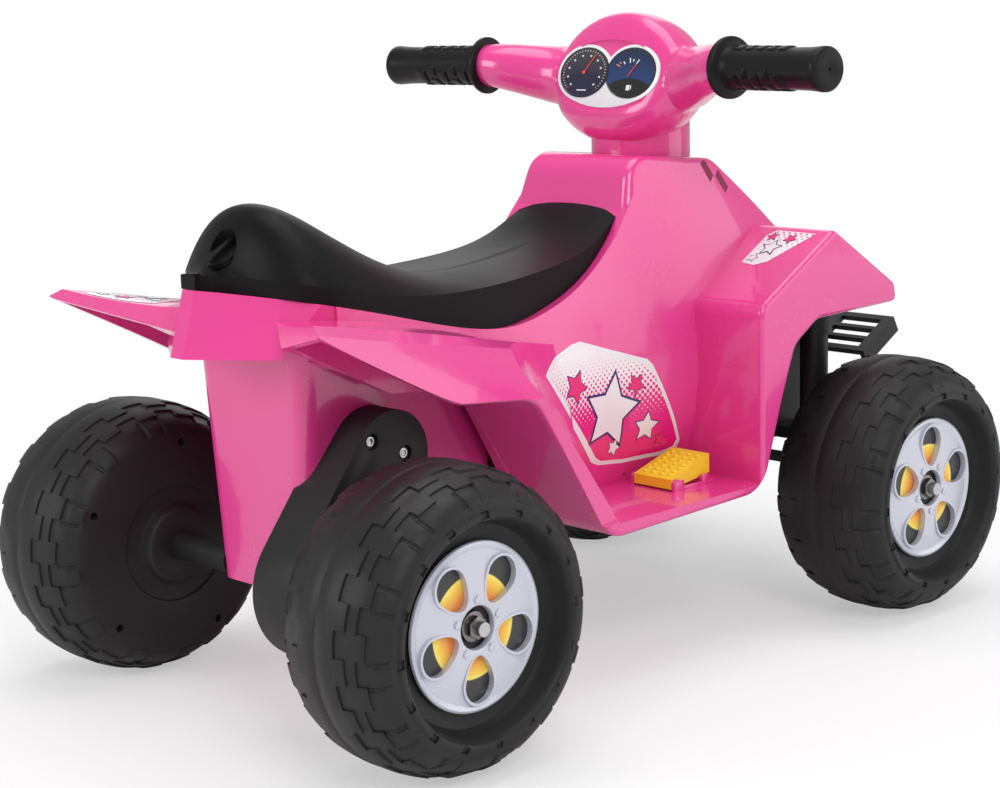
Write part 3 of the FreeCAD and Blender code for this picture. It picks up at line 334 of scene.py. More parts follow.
# tones are two base colours and the worn one
pinkLook = {"tones": ((0.77, 0.043, 0.270), (0.80, 0.056, 0.295), (0.85, 0.25, 0.45)), "rough": (0.26, 0.28),
            "grainScale": 1500.0, "bump": 0.02, "coat": 0.7, "wear": 0.03, "scratchRough": 0.0}
pinkPlastic = plasticFinish("pinkPlastic", pinkLook)
seatLook = {"tones": ((0.007, 0.0068, 0.0068), (0.011, 0.0107, 0.0107), (0.10, 0.10, 0.10)),
            "rough": (0.34, 0.44), "grainScale": 1100.0, "bump": 0.10, "wear": 0.2, "scratchRough": 0.10,
            "shine": 0.09}
seatPlastic = plasticFinish("seatPlastic", seatLook)
blackLook = {"tones": ((0.012, 0.012, 0.0125), (0.019, 0.019, 0.020), (0.13, 0.13, 0.13)),
             "rough": (0.38, 0.55), "grainScale": 700.0, "bump": 0.15, "scratchRough": 0.12, "shine": 0.3}
blackPlastic = plasticFinish("blackPlastic", blackLook)
tyreLook = {"tones": ((0.012, 0.0115, 0.012), (0.019, 0.0185, 0.019), (0.16, 0.16, 0.16)),
            "rough": (0.42, 0.55), "grainScale": 900.0, "bump": 0.12, "wear": 0.3, "scratchRough": 0.10,
            "bumpDepth": 0.0003, "shine": 0.3}
tyrePlastic = plasticFinish("tyrePlastic", tyreLook)
gripLook = {"tones": ((0.008, 0.0075, 0.0073), (0.013, 0.0122, 0.012), (0.09, 0.09, 0.09)),
            "rough": (0.28, 0.40), "grainScale": 900.0, "bump": 0.12, "wear": 0.3, "shine": 0.16}
gripRubber = plasticFinish("gripRubber", gripLook)
silverLook = {"tones": ((0.56, 0.57, 0.66), (0.62, 0.63, 0.71), (0.80, 0.80, 0.84)), "rough": (0.26, 0.36),
              "grainScale": 2400.0, "bump": 0.03, "metal": 0.25, "coat": 0.4, "wear": 0.15}
silverPaint = plasticFinish("silverPaint", silverLook)
steelLook = {"tones": ((0.45, 0.45, 0.46), (0.58, 0.58, 0.59), (0.30, 0.29, 0.28)), "rough": (0.20, 0.38),
             "grainScale": 1600.0, "bump": 0.05, "metal": 1.0, "wear": 0.3}
platedSteel = plasticFinish("platedSteel", steelLook)
nutLook = {"tones": ((0.17, 0.165, 0.16), (0.27, 0.26, 0.25), (0.12, 0.10, 0.08)), "rough": (0.22, 0.40),
           "grainScale": 1600.0, "bump": 0.05, "metal": 1.0, "wear": 0.4}
nutSteel = plasticFinish("nutSteel", nutLook)
yellowLook = {"tones": ((0.90, 0.62, 0.015), (0.95, 0.70, 0.025), (0.80, 0.45, 0.02)), "rough": (0.25, 0.36),
              "grainScale": 1300.0, "bump": 0.05, "coat": 0.2, "wear": 0.15}
yellowPlastic = plasticFinish("yellowPlastic", yellowLook)
whiteLook = {"tones": ((0.80, 0.80, 0.82), (0.86, 0.86, 0.87), (0.60, 0.60, 0.60)), "rough": (0.20, 0.30),
             "grainScale": 2000.0, "bump": 0.02, "coat": 0.3, "wear": 0.1}
whitePrint = plasticFinish("whitePrint", whiteLook)
inkLook = {"rough": (0.25, 0.35), "grainScale": 2000.0, "bump": 0.02}
redInk = {**inkLook, "tones": ((0.75, 0.06, 0.03), (0.80, 0.10, 0.04), (0.5, 0.04, 0.03))}
redPrint = plasticFinish("redPrint", redInk)
orangeInk = {**inkLook, "tones": ((0.78, 0.24, 0.05), (0.82, 0.30, 0.07), (0.5, 0.15, 0.03))}
orangePrint = plasticFinish("orangePrint", orangeInk)
navyInk = {**inkLook, "tones": ((0.020, 0.014, 0.12), (0.026, 0.018, 0.14), (0.10, 0.09, 0.22))}
navyPrint = plasticFinish("navyPrint", navyInk)
magentaInk = {**inkLook, "tones": ((0.78, 0.010, 0.16), (0.82, 0.016, 0.19), (0.85, 0.20, 0.35))}
magentaPrint = plasticFinish("magentaPrint", magentaInk)
print("finishes made")

# the solids that are shown as they are
finishOf = {
    "pinkPlastic": ["body_shell", "rear_tub", "neck_collar"],
    "seatPlastic": ["seat", "seat_lock"],
    "blackPlastic": ["front_carrier", "chassis_rail", "front_bumper", "knuckle_left", "knuckle_right",
                     "drag_link", "tie_rod", "pedal_switch", "battery", "axle_bush"],
    "platedSteel": ["drive_motor", "handlebar_tube", "steering_column", "rear_axle", "stub_axle_left",
                    "stub_axle_right", "pedal_pin"],
    "yellowPlastic": ["pedal"],
}
for finishName, names in finishOf.items():
    for nodeName in names:
        nodes[nodeName].data.materials.clear()
        nodes[nodeName].data.materials.append(bpy.data.materials[finishName])


# tyres
tyre = {
    "turns": 144,
    "beat": 8,                 # segments in one step of the tread line
    "rise": 0.0016,            # height of each tread plate
    # lower and upper plate: least radius, half width, half width at a step, shift of the step
    "plates": [(0.096, 0.0330, 0.0396, 4), (0.098, 0.0170, 0.0255, 0)],
    "facing": 0.6,             # a plate's faces look outwards at least this much
    "blockBeat": 12,           # segments between two shoulder blocks
    "cuts": (0, 4),            # segments of each beat with a cut, then those with the block
    "block": (1, 2, 3),
    "cutBand": (0.0396, 0.0512),
    "blockBand": (0.0452, 0.0512),
    "blockReach": (0.0845, 0.0934),
    "blockRise": 0.0005,
    "cutWall": 0.0014,
    "cutDepth": 0.0012,
    "notchReach": (0.0766, 0.0814),        # notches in the rim's lip
    "notchOut": 0.050,
    "notchBeat": 9,
    "notchLong": 2,
    "notchDepth": 0.0018,
    "drains": 5,
    "drainTurn": math.radians(82),
    "drainFar": 0.078,
    "drainAt": 0.0530,
    "drain": (0.003, 0.016),   # radius and length of the drill
    "edge": 0.0005,
    "outline": [
        (0.0052, 0.0340), (0.0600, 0.0340), (0.0685, 0.0352), (0.0712, 0.0400), (0.0732, 0.0480),
        (0.0748, 0.0522), (0.0766, 0.0536), (0.0798, 0.0536), (0.0814, 0.0520), (0.0834, 0.0520),
        (0.0862, 0.0512), (0.0898, 0.0490), (0.0934, 0.0452), (0.0966, 0.0396), (0.0990, 0.0330),
        (0.1008, 0.0255), (0.1020, 0.0170), (0.1027, 0.0085), (0.1028, 0.0008), (0.1024, 0.0004),
        (0.1024, -0.0004), (0.1028, -0.0008), (0.1027, -0.0085), (0.1020, -0.0170), (0.1008, -0.0255),
        (0.0990, -0.0330), (0.0966, -0.0396), (0.0934, -0.0452), (0.0898, -0.0490), (0.0856, -0.0514),
        (0.0806, -0.0528), (0.0740, -0.0538), (0.0650, -0.0546), (0.0550, -0.0550), (0.0468, -0.0551),
        (0.0454, -0.0548), (0.0448, -0.0538), (0.0442, -0.0532), (0.0338, -0.0532), (0.0316, -0.0536),
        (0.0306, -0.0552), (0.0293, -0.0595), (0.0280, -0.0612), (0.0262, -0.0619), (0.0200, -0.0620),
        (0.0052, -0.0620),
    ],
}


def makeTyre(body):
    middle = spinSpots[body]
    side = 1 if middle.y > 0 else -1
    piece = spunPiece("tyre." + body, tyre["outline"], middle, side, tyre["turns"])

    def place(centre):
        return roundPlace(centre, middle, side, tyre["turns"])

    def plate(least, narrow, wide, shift):
        # a band round the tyre whose edge steps between two half widths
        def inPlate(centre, normal):
            arm, along, segment = place(centre)
            if arm.length < least or normal.dot(arm.normalized()) <= tyre["facing"]:
                return False
            stepped = (segment + shift) % tyre["beat"] < tyre["beat"] // 2
            return abs(along) < narrow or (abs(along) < wide and stepped)
        return inPlate

    def shoulderCut(centre, normal):
        arm, along, segment = place(centre)
        low, high = tyre["cutBand"]
        return (low < abs(along) < high and arm.length > tyre["blockReach"][0]
                and segment % tyre["blockBeat"] in tyre["cuts"])

    def shoulderBlock(centre, normal):
        arm, along, segment = place(centre)
        low, high = tyre["blockBand"]
        near, far = tyre["blockReach"]
        return (low < abs(along) < high and near < arm.length < far
                and segment % tyre["blockBeat"] in tyre["block"])

    def lipNotch(centre, normal):
        arm, along, segment = place(centre)
        near, far = tyre["notchReach"]
        return (near < arm.length < far and along > tyre["notchOut"]
                and segment % tyre["notchBeat"] < tyre["notchLong"])

    for values in tyre["plates"]:
        raiseFaces(piece, plate(*values), tyre["rise"])
    chooseFaces(piece, shoulderCut)
    bpy.ops.mesh.inset(thickness=tyre["cutWall"], depth=-tyre["cutDepth"], use_individual=False)
    endEdit()
    raiseFaces(piece, shoulderBlock, tyre["blockRise"])
    raiseFaces(piece, lipNotch, -tyre["notchDepth"])
    drills = []
    for turn in range(tyre["drains"]):
        angle = tyre["drainTurn"] + turn * 2 * math.pi / tyre["drains"]
        spot = roundSpot(middle, tyre["drainFar"], angle, -side * tyre["drainAt"])
        drills.append(drum(24, *tyre["drain"], spot, layDown))
    combine(piece, joinAll(drills))
    softEdges(piece, tyre["edge"], angle=40)
    smoothByAngle(piece, 40)
    setFinish(piece, tyrePlastic)
    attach(piece, body)
    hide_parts(body)


for bodyName in spinSpots:
    makeTyre(bodyName)
print("tyres made")


# hubcaps
cap = {
    "outline": [(0.0145, 0.0352), (0.0572, 0.0352), (0.0580, 0.0366), (0.0575, 0.0384), (0.0560, 0.0390),
                (0.0540, 0.0384), (0.0525, 0.0376), (0.0300, 0.0396), (0.0172, 0.0400), (0.0152, 0.0394),
                (0.0145, 0.0380)],
    "turns": 96,
    "windows": 5,
    "wideRadius": 0.0130,
    "wideFar": 0.0385,
    "splitDrop": 0.0002,       # below the wide end's middle the opening narrows and stretches
    "narrowing": 0.209,
    "stretch": 0.0068,
    "border": (0.0018, 0.0355, 0.0402),    # width of the raised edge, its foot and top
    "opening": (0.0, 0.0310, 0.0440),
    "edge": 0.0007,
    "boltFar": 0.0192,
    "boltAt": 0.0400,
    "bolt": (0.0030, 0.0022),  # radius and height
    "boltEdge": 0.0003,
    "back": (0.0570, 0.0150),  # outer and inner radius of the printed disc behind
    "backAt": 0.0349,
    "backRough": (0.25, 0.38),
    "glow": [(0.10, (0.80, 0.19, 0.03, 1)), (0.20, (0.86, 0.27, 0.05, 1)), (0.285, (0.95, 0.62, 0.07, 1)),
             (0.312, (0.97, 0.78, 0.16, 1)), (0.320, (0.035, 0.033, 0.036, 1))],
}


def capGlowFinish():
    # orange to yellow inside, dark grey outside
    finish, tree, shader, grain = newFinish("capGlow", cap["backRough"])
    uv = addNode(tree, "ShaderNodeUVMap")
    shift = addNode(tree, "ShaderNodeVectorMath", {1: (0.5, 0.5, 0)}, operation="SUBTRACT")
    size = addNode(tree, "ShaderNodeVectorMath", operation="LENGTH")
    ramp = addNode(tree, "ShaderNodeValToRGB")
    stops = ramp.color_ramp.elements
    stops[0].position, stops[0].color = cap["glow"][0]
    stops[1].position, stops[1].color = cap["glow"][-1]
    for place, colour in cap["glow"][1:-1]:
        stops.new(place).color = colour
    wire(tree, (uv, "UV", shift, 0), (shift, 0, size, 0), (size, "Value", ramp, "Fac"),
         (ramp, "Color", shader, "Base Color"), (grain, "Roughness", shader, "Roughness"))
    return finish


capGlow = capGlowFinish()


def windowPlug(middle, side, turn, grow, low, high):
    # an egg-shaped plug, wide end outwards
    radius = cap["wideRadius"] + grow
    spot = middle + Vector((0, side * (low + high) / 2, cap["wideFar"]))
    plug = drum(48, radius, high - low, spot, layDown)
    for vertex in plug.data.vertices:
        depth = (spot.z - cap["splitDrop"] - vertex.co.z) / radius
        if depth > 0:
            vertex.co.x = middle.x + (vertex.co.x - middle.x) * (1 - cap["narrowing"] * depth)
            vertex.co.z -= cap["stretch"] * depth
    editAll(plug)
    bpy.ops.transform.rotate(value=turn, orient_axis="Y", center_override=middle)
    endEdit()
    return plug


def makeHubcap(body):
    middle = spinSpots[body]
    side = 1 if middle.y > 0 else -1
    place = body.replace("wheel_", "")
    piece = spunPiece("hubcap." + place, cap["outline"], middle, side, cap["turns"])
    step = 2 * math.pi / cap["windows"]
    first = math.pi if "rear" in body else 0     # rear caps have a window at the bottom
    for action, sizes in (("UNION", cap["border"]), ("DIFFERENCE", cap["opening"])):
        plugs = [windowPlug(middle, side, first + turn * step, *sizes) for turn in range(cap["windows"])]
        combine(piece, joinAll(plugs), action)
    softEdges(piece, cap["edge"], angle=50, segments=3)
    bolts = []
    for turn in range(cap["windows"]):
        angle = math.pi / 2 + first + (turn + 0.5) * step
        spot = roundSpot(middle, cap["boltFar"], angle, side * cap["boltAt"])
        bolt = drum(6, *cap["bolt"], spot, layDown)
        softEdges(bolt, cap["boltEdge"])
        bolts.append(bolt)
    joinAll([piece] + bolts)
    smoothByAngle(piece, 32)
    setFinish(piece, silverPaint)
    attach(piece, body)
    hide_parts("hubcap_" + place)
    outer, inner = cap["back"]
    clearChoice()
    bpy.ops.mesh.primitive_circle_add(vertices=72, radius=outer, fill_type="NGON",
                                      location=(middle.x, middle.y + side * cap["backAt"], middle.z),
                                      rotation=(-side * math.pi / 2, 0, 0))
    back = bpy.context.object
    back.name = "capBack." + place
    settle(back)
    editAll(back)
    bpy.ops.mesh.inset(thickness=outer - inner)
    bpy.ops.mesh.delete(type="FACE")
    endEdit()
    setFinish(back, capGlow)
    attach(back, body)


for bodyName in spinSpots:
    makeHubcap(bodyName)
print("hubcaps made")


# wheel nuts
nut = {
    "bodies": {"front_left": "knuckle_left", "front_right": "knuckle_right", "rear_left": "frame",
               "rear_right": "frame"},
    "rings": [(32, 0.0104, 0.0012), (6, 0.0082, 0.0058), (24, 0.0046, 0.0088)],    # corners, radius, height
    "boltWall": 0.0012,
    "dimple": (0.0006, 0.0008),            # slope and depth of the hollow in the bolt's end
    "edge": 0.0004,
}


def makeNut(place, body):
    # washer, nut and bolt end, modelled upright
    low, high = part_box("nut_" + place)
    side = 1 if low.y > 0 else -1
    rings = [drum(corners, radius, height, (0, 0, height / 2)) for corners, radius, height in nut["rings"]]
    chooseFaces(rings[-1], facesUp)
    bpy.ops.mesh.inset(thickness=nut["boltWall"])
    bpy.ops.mesh.inset(thickness=nut["dimple"][0], depth=-nut["dimple"][1])
    endEdit()
    for ring in rings:
        softEdges(ring, nut["edge"])
    piece = joinAll(rings)
    piece.name = "wheelNut." + place
    start = low.y if side > 0 else high.y
    piece.matrix_world = (Matrix.Translation(((low.x + high.x) / 2, start, (low.z + high.z) / 2))
                          @ Matrix.Rotation(-side * math.pi / 2, 4, "X"))
    settle(piece)
    smoothByAngle(piece, 35)
    setFinish(piece, nutSteel)
    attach(piece, body)
    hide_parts("nut_" + place)


for placeName, bodyName in nut["bodies"].items():
    makeNut(placeName, bodyName)
print("nuts made")


# handlebar grips
grip = {
    "sweep": math.radians(6.5),            # the bar's ends lean back
    "inward": 0.0020,
    "turns": 48,
    "outline": [(0.0092, 0.0000), (0.0226, 0.0000), (0.0240, 0.0010), (0.0240, 0.0042), (0.0226, 0.0056),
                (0.0172, 0.0066), (0.0160, 0.0100), (0.0158, 0.0150), (0.0157, 0.0230), (0.0157, 0.0265),
                (0.0157, 0.0345), (0.0157, 0.0380), (0.0157, 0.0460), (0.0157, 0.0495), (0.0157, 0.0575),
                (0.0157, 0.0610), (0.0157, 0.0690), (0.0158, 0.0770), (0.0160, 0.0900), (0.0166, 0.0980),
                (0.0169, 0.1010), (0.0168, 0.1045), (0.0156, 0.1062), (0.0120, 0.1068), (0.0010, 0.1070),
                (0.0010, 0.1026), (0.0092, 0.1022)],
    "rows": [(0.0150, 0.0230), (0.0265, 0.0345), (0.0380, 0.0460), (0.0495, 0.0575), (0.0610, 0.0690)],
    "sleeve": 0.0165,          # only faces within this radius are raised
    "facing": 0.7,
    "beat": 8,                 # segments of one raised block and the gap beside it
    "gap": 2,
    "rise": 0.0013,
    "edge": 0.0005,
}


def makeGrip(side, word):
    node = "grip_" + word
    low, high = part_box(node)
    start = low.y if side > 0 else high.y
    middle = Vector(((low.x + high.x) / 2, start, (low.z + high.z) / 2))
    piece = spunPiece("gripSleeve." + word, grip["outline"], middle, side, grip["turns"])

    def raisedBlock(centre, normal):
        arm, along, segment = roundPlace(centre, middle, side, grip["turns"])
        if arm.length > grip["sleeve"] or normal.dot(arm.normalized()) < grip["facing"]:
            return False
        block, step = divmod(segment, grip["beat"])
        for row, (near, far) in enumerate(grip["rows"]):
            if near < along < far:
                shift = (row % 2) * (grip["beat"] // 2)     # every second row is set off by half a beat
                return not shift <= step < shift + grip["gap"] and block % 3 != 2
        return False

    raiseFaces(piece, raisedBlock, grip["rise"])
    editAll(piece)
    bpy.ops.transform.rotate(value=-side * grip["sweep"], orient_axis="Z", center_override=(low + high) / 2)
    bpy.ops.transform.translate(value=(0, -side * grip["inward"], 0))
    endEdit()
    softEdges(piece, grip["edge"])
    smoothByAngle(piece, 40)
    setFinish(piece, gripRubber)
    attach(piece, "steering")
    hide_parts(node)


makeGrip(1, "left")
makeGrip(-1, "right")
print("grips made")


# dash plate, modelled flat and round at the origin
dash = {
    "spot": Vector((0.106, 0, 0.450)),
    "tilt": math.radians(16.6),
    "dialSide": 0.027,
    "dialRise": 0.003,
    "radius": 0.0284,
    "face": -0.0005,           # outer face of the white plate, along the plate's own normal
    "lobe": 0.032,
    "chinDrop": 0.036,
    "steps": 36,               # points round one lobe
    "thick": 0.0020,
    "edge": 0.0004,
    "squash": (0.95, 0.74),    # the dials are ovals
    "drop": -0.0035,
}


def dashPlace():
    out = Vector((-math.cos(dash["tilt"]), 0, math.sin(dash["tilt"])))
    up = Vector((math.sin(dash["tilt"]), 0, math.cos(dash["tilt"])))
    across = up.cross(out)
    turn = Matrix((across, up, out)).transposed().to_4x4()
    return Matrix.Translation(dash["spot"]) @ turn


def onDash(piece):
    # squashes a flat round piece and lays it on the plate
    piece.matrix_world = (dashPlace() @ Matrix.Translation((0, dash["drop"], 0))
                          @ Matrix.Diagonal((*dash["squash"], 1, 1)))
    settle(piece)


def platePoints():
    # two lobes and a chin that touches both
    side, rise, radius, drop = dash["dialSide"], dash["dialRise"], dash["lobe"], dash["chinDrop"]
    spare = drop - radius
    chin = (side ** 2 + rise ** 2 - spare ** 2) / (2 * (rise + spare))
    lean = math.atan2(chin - rise, side)
    cusp = math.acos(side / radius)
    steps = dash["steps"]
    half = []
    for step in range(steps + 1):
        turn = cusp + (math.pi + lean - cusp) * step / steps
        half.append((-side + radius * math.cos(turn), rise + radius * math.sin(turn)))
    for step in range(1, steps // 4):
        turn = -math.pi + lean + (math.pi / 2 - lean) * step / (steps // 4)
        half.append(((drop + chin) * math.cos(turn), chin + (drop + chin) * math.sin(turn)))
    return half + [(0, -drop)] + [(-x, y) for x, y in reversed(half[1:])]


def makePlate():
    foot = dash["face"] - dash["thick"]
    piece = drawnLine("dashPlate", [Vector((x, y, foot)) for x, y in platePoints()])
    bpy.ops.mesh.remove_doubles(threshold=mergeReach)
    bpy.ops.mesh.edge_face_add()
    bpy.ops.mesh.extrude_region_move(TRANSFORM_OT_translate={"value": (0, 0, dash["thick"])})
    bpy.ops.mesh.select_all(action="SELECT")
    bpy.ops.mesh.normals_make_consistent(inside=False)
    endEdit()
    softEdges(piece, dash["edge"])
    onDash(piece)
    smoothByAngle(piece, 35)
    setFinish(piece, whitePrint)
    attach(piece, "steering")
    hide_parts("dash_plate")


# handlebar head
head = {
    "middle": Vector((0.134, 0, 0.443)),
    "turns": 96,
    "round": 0.0536,           # radius of the bulb, then its reach to the side
    "reach": 0.069,
    "arm": [(0.0262, 0.0620), (0.0254, 0.0680), (0.0240, 0.0780), (0.0222, 0.0920), (0.0204, 0.1070),
            (0.0188, 0.1210), (0.0180, 0.1325)],
    "axisGap": 0.001,          # the spun outline comes this close to its axis
    "bendFrom": 0.056,
    "back": 0.034,
    "rise": 0.011,
    "seam": 0.004,
    "rearFrom": 0.0015,        # the rear of the bulb is flattened and leans like the plate
    "rearSide": 0.061,
    "rearDepth": 0.0312,
    "rearPower": 4,
    "leanFrom": -0.028,        # below this height the rear no longer leans
    "lip": (1, 0.985, 0.95),   # the seam's edge is turned in by this scale
    "recess": (0.0570, 0.0300),            # half width and half height of the oval round the plate
    "recessDrop": -0.0039,
    "recessTool": 0.02,
    "floor": 0.0008,
    "edge": 0.0007,
}


def headOutline():
    turns = [math.radians(turn) for turn in range(0, 61, 4)]
    bulb = [(head["round"] * math.cos(turn), head["reach"] * math.sin(turn)) for turn in turns]
    tip = head["arm"][-1][1]
    half = bulb + head["arm"] + [(head["axisGap"], tip), (head["axisGap"], head["bendFrom"])]
    return [(r, -a) for r, a in reversed(half[1:])] + half


def flattenRear(piece):
    middle = head["middle"]
    power = head["rearPower"]
    for vertex in piece.data.vertices:
        up = vertex.co.z - middle.z
        size = math.hypot(vertex.co.y / head["reach"], up / head["round"])
        if vertex.co.x < middle.x - head["rearFrom"] and size < 1 and abs(vertex.co.y) < head["rearSide"]:
            share = (1 - size ** power) ** (1 / power)
            lean = max(up, head["leanFrom"]) * math.tan(dash["tilt"])
            vertex.co.x = middle.x - share * (head["rearDepth"] - lean)


def bendArms(piece):
    span = head["arm"][-1][1] - head["bendFrom"]
    for vertex in piece.data.vertices:
        share = min(max((abs(vertex.co.y) - head["bendFrom"]) / span, 0), 1)
        share = share * share * (3 - 2 * share)
        vertex.co.x -= head["back"] * share
        vertex.co.z += head["rise"] * share


def recessOval():
    depth = head["recessTool"]
    middle = dash["face"] - head["floor"] + depth / 2
    clearChoice()
    bpy.ops.mesh.primitive_cylinder_add(vertices=96, radius=1, depth=depth,
                                        location=(0, head["recessDrop"], middle))
    oval = bpy.context.object
    oval.scale = (*head["recess"], 1)
    settle(oval)
    oval.matrix_world = dashPlace()
    settle(oval)
    return oval


def makeHead():
    rear = spunPiece("headRear", headOutline(), head["middle"], 1, head["turns"])
    flattenRear(rear)
    combine(rear, recessOval())
    front = copyOf(rear, "headFront")
    split = (head["middle"].x + head["seam"], 0, 0)
    for piece, node, cut in ((rear, "cover_rear", "clear_outer"), (front, "cover_front", "clear_inner")):
        editAll(piece)
        bpy.ops.mesh.bisect(plane_co=split, plane_no=(1, 0, 0), threshold=cutReach, **{cut: True})
        bpy.ops.mesh.extrude_edges_move()
        bpy.ops.transform.resize(value=head["lip"], center_override=head["middle"])
        endEdit()
        bendArms(piece)
        softEdges(piece, head["edge"], angle=40)
        smoothByAngle(piece, 35)
        setFinish(piece, pinkPlastic)
        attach(piece, "steering")
        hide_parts(node)


neck = {"middle": (0.145, 0, 0.4010), "radius": 0.0373, "height": 0.0060, "slope": 0.009, "crown": 0.004,
        "edge": 0.0010}


def makeNeck():
    # closes the collar under the head
    piece = drum(72, neck["radius"], neck["height"], neck["middle"])
    piece.name = "neckPlug"
    chooseFaces(piece, facesUp)
    bpy.ops.mesh.inset(thickness=neck["slope"])
    bpy.ops.transform.translate(value=(0, 0, neck["crown"]))
    endEdit()
    softEdges(piece, neck["edge"], angle=20)
    smoothByAngle(piece, 40)
    setFinish(piece, pinkPlastic)
    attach(piece, "steering")


makeHead()
makePlate()
makeNeck()
print("head made")


# dials
dials = {
    "thick": 0.0007,
    "rim": 0.0011,             # flat of the black rim
    "step": (0.0003, 0.0002),  # slope and depth from the rim to the face
    "rimPaint": 0.0010,        # faces closer to the edge than this are black
    "edge": 0.0002,
    "blur": 0.0003,            # softness of the printed horizon
    "fade": 0.026,             # height over which the upper colour changes
    "rough": (0.10, 0.18),
    "coat": 0.6,
    "ink": 0.0001,             # thickness of a printed mark
    "ticks": (37, 225, 7.5),   # number, first angle, angle between two
    "tick": (0.0018, 0.0034, 0.0005),      # short one, long one, width
    "tickFar": 0.0245,
    "longEvery": 4,
    "block": (0.0019, 0.0192), # square inside each long tick: its side and distance
    "foot": (0.0012, 0.0110, 0.0200),      # bar low on the left dial: height, width, distance
    # bars on the right dial: width and distance of all, turn and length of each
    "whiteBars": (0.0012, 0.0140, [(100, 0.0055), (62, 0.0055), (128, 0.0034), (84, 0.0028)]),
    "orangeBars": (0.0011, 0.0170, [(152, 0.0055), (140, 0.0030)]),
    "pump": (0.0040, 0.0060, 0.0, -0.0165),        # width, height, place from the dial's middle
    "spout": (0.0010, 0.0045, 0.0032, -0.0160),
    "needles": [(-1, 62, 0.0225, 0.0), (1, 58, 0.0165, -0.0045)],  # side, turn, length, tail
    "needle": (0.0010, 0.0003),            # width and thickness
    "needleLift": 0.0003,
    "needleEdge": 0.0001,
    "hub": (0.0019, 0.0008),
}


def dialFinish(name, upper, lower, middleY, horizon, bow):
    # printed dial face with a bowed horizon between two colours
    finish, tree, shader, grain = newFinish(name, dials["rough"])
    where = addNode(tree, "ShaderNodeTexCoord")
    shift = addNode(tree, "ShaderNodeMapping", {"Location": (0, -middleY, -horizon)})
    split = addNode(tree, "ShaderNodeSeparateXYZ")
    square = addNode(tree, "ShaderNodeMath", operation="MULTIPLY")
    arch = addNode(tree, "ShaderNodeMath", {1: bow}, operation="MULTIPLY_ADD")
    ramp = addNode(tree, "ShaderNodeMapRange", {"From Min": -dials["blur"], "From Max": dials["blur"]})
    fade = addNode(tree, "ShaderNodeMapRange", {"From Min": 0.0, "From Max": dials["fade"]})
    glow = mixNode(tree, {6: (*upper[0], 1), 7: (*upper[1], 1)})
    mix = mixNode(tree, {6: (*lower, 1)})
    wire(tree, (where, "Object", shift, "Vector"), (shift, "Vector", split, 0), (split, "Y", square, 0),
         (split, "Y", square, 1), (square, 0, arch, 0), (split, "Z", arch, 2), (arch, 0, ramp, "Value"),
         (split, "Z", fade, "Value"), (fade, "Result", glow, 0), (ramp, "Result", mix, 0), (glow, 2, mix, 7),
         (mix, 2, shader, "Base Color"), (grain, "Roughness", shader, "Roughness"))
    setSockets(shader, {"Coat Weight": dials["coat"]})
    return finish


speedFace = dialFinish("speedFace", ((0.020, 0.019, 0.040), (0.060, 0.060, 0.075)), (0.010, 0.008, 0.040),
                       0.0257, 0.4485, 9.8)
levelFace = dialFinish("levelFace", ((0.009, 0.038, 0.150), (0.007, 0.016, 0.045)), (0.006, 0.006, 0.007),
                       -0.0257, 0.4447, 11.5)


def makeDisc(name, middle, finish):
    thick = dials["thick"]
    piece = drum(72, dash["radius"], thick, middle + Vector((0, 0, dash["face"] + thick / 2)))
    piece.name = name
    chooseFaces(piece, facesUp)
    bpy.ops.mesh.inset(thickness=dials["rim"])
    bpy.ops.mesh.inset(thickness=dials["step"][0], depth=-dials["step"][1])
    endEdit()
    softEdges(piece, dials["edge"])
    setFinish(piece, finish)
    piece.data.materials.append(blackPlastic)
    for face in piece.data.polygons:
        far = math.hypot(face.center.x - middle.x, face.center.y - middle.y)
        face.material_index = 1 if far > dash["radius"] - dials["rimPaint"] else 0
    onDash(piece)
    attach(piece, "steering")


def dialBar(size, far, degrees, middle, lift):
    # one bar, standing radially on a dial
    piece = roundBlock("dialBar", size, (far, 0, lift), 0)
    editAll(piece)
    bpy.ops.transform.rotate(value=-math.radians(degrees), orient_axis="Z", center_override=(0, 0, 0))
    bpy.ops.transform.translate(value=middle)
    endEdit()
    return piece


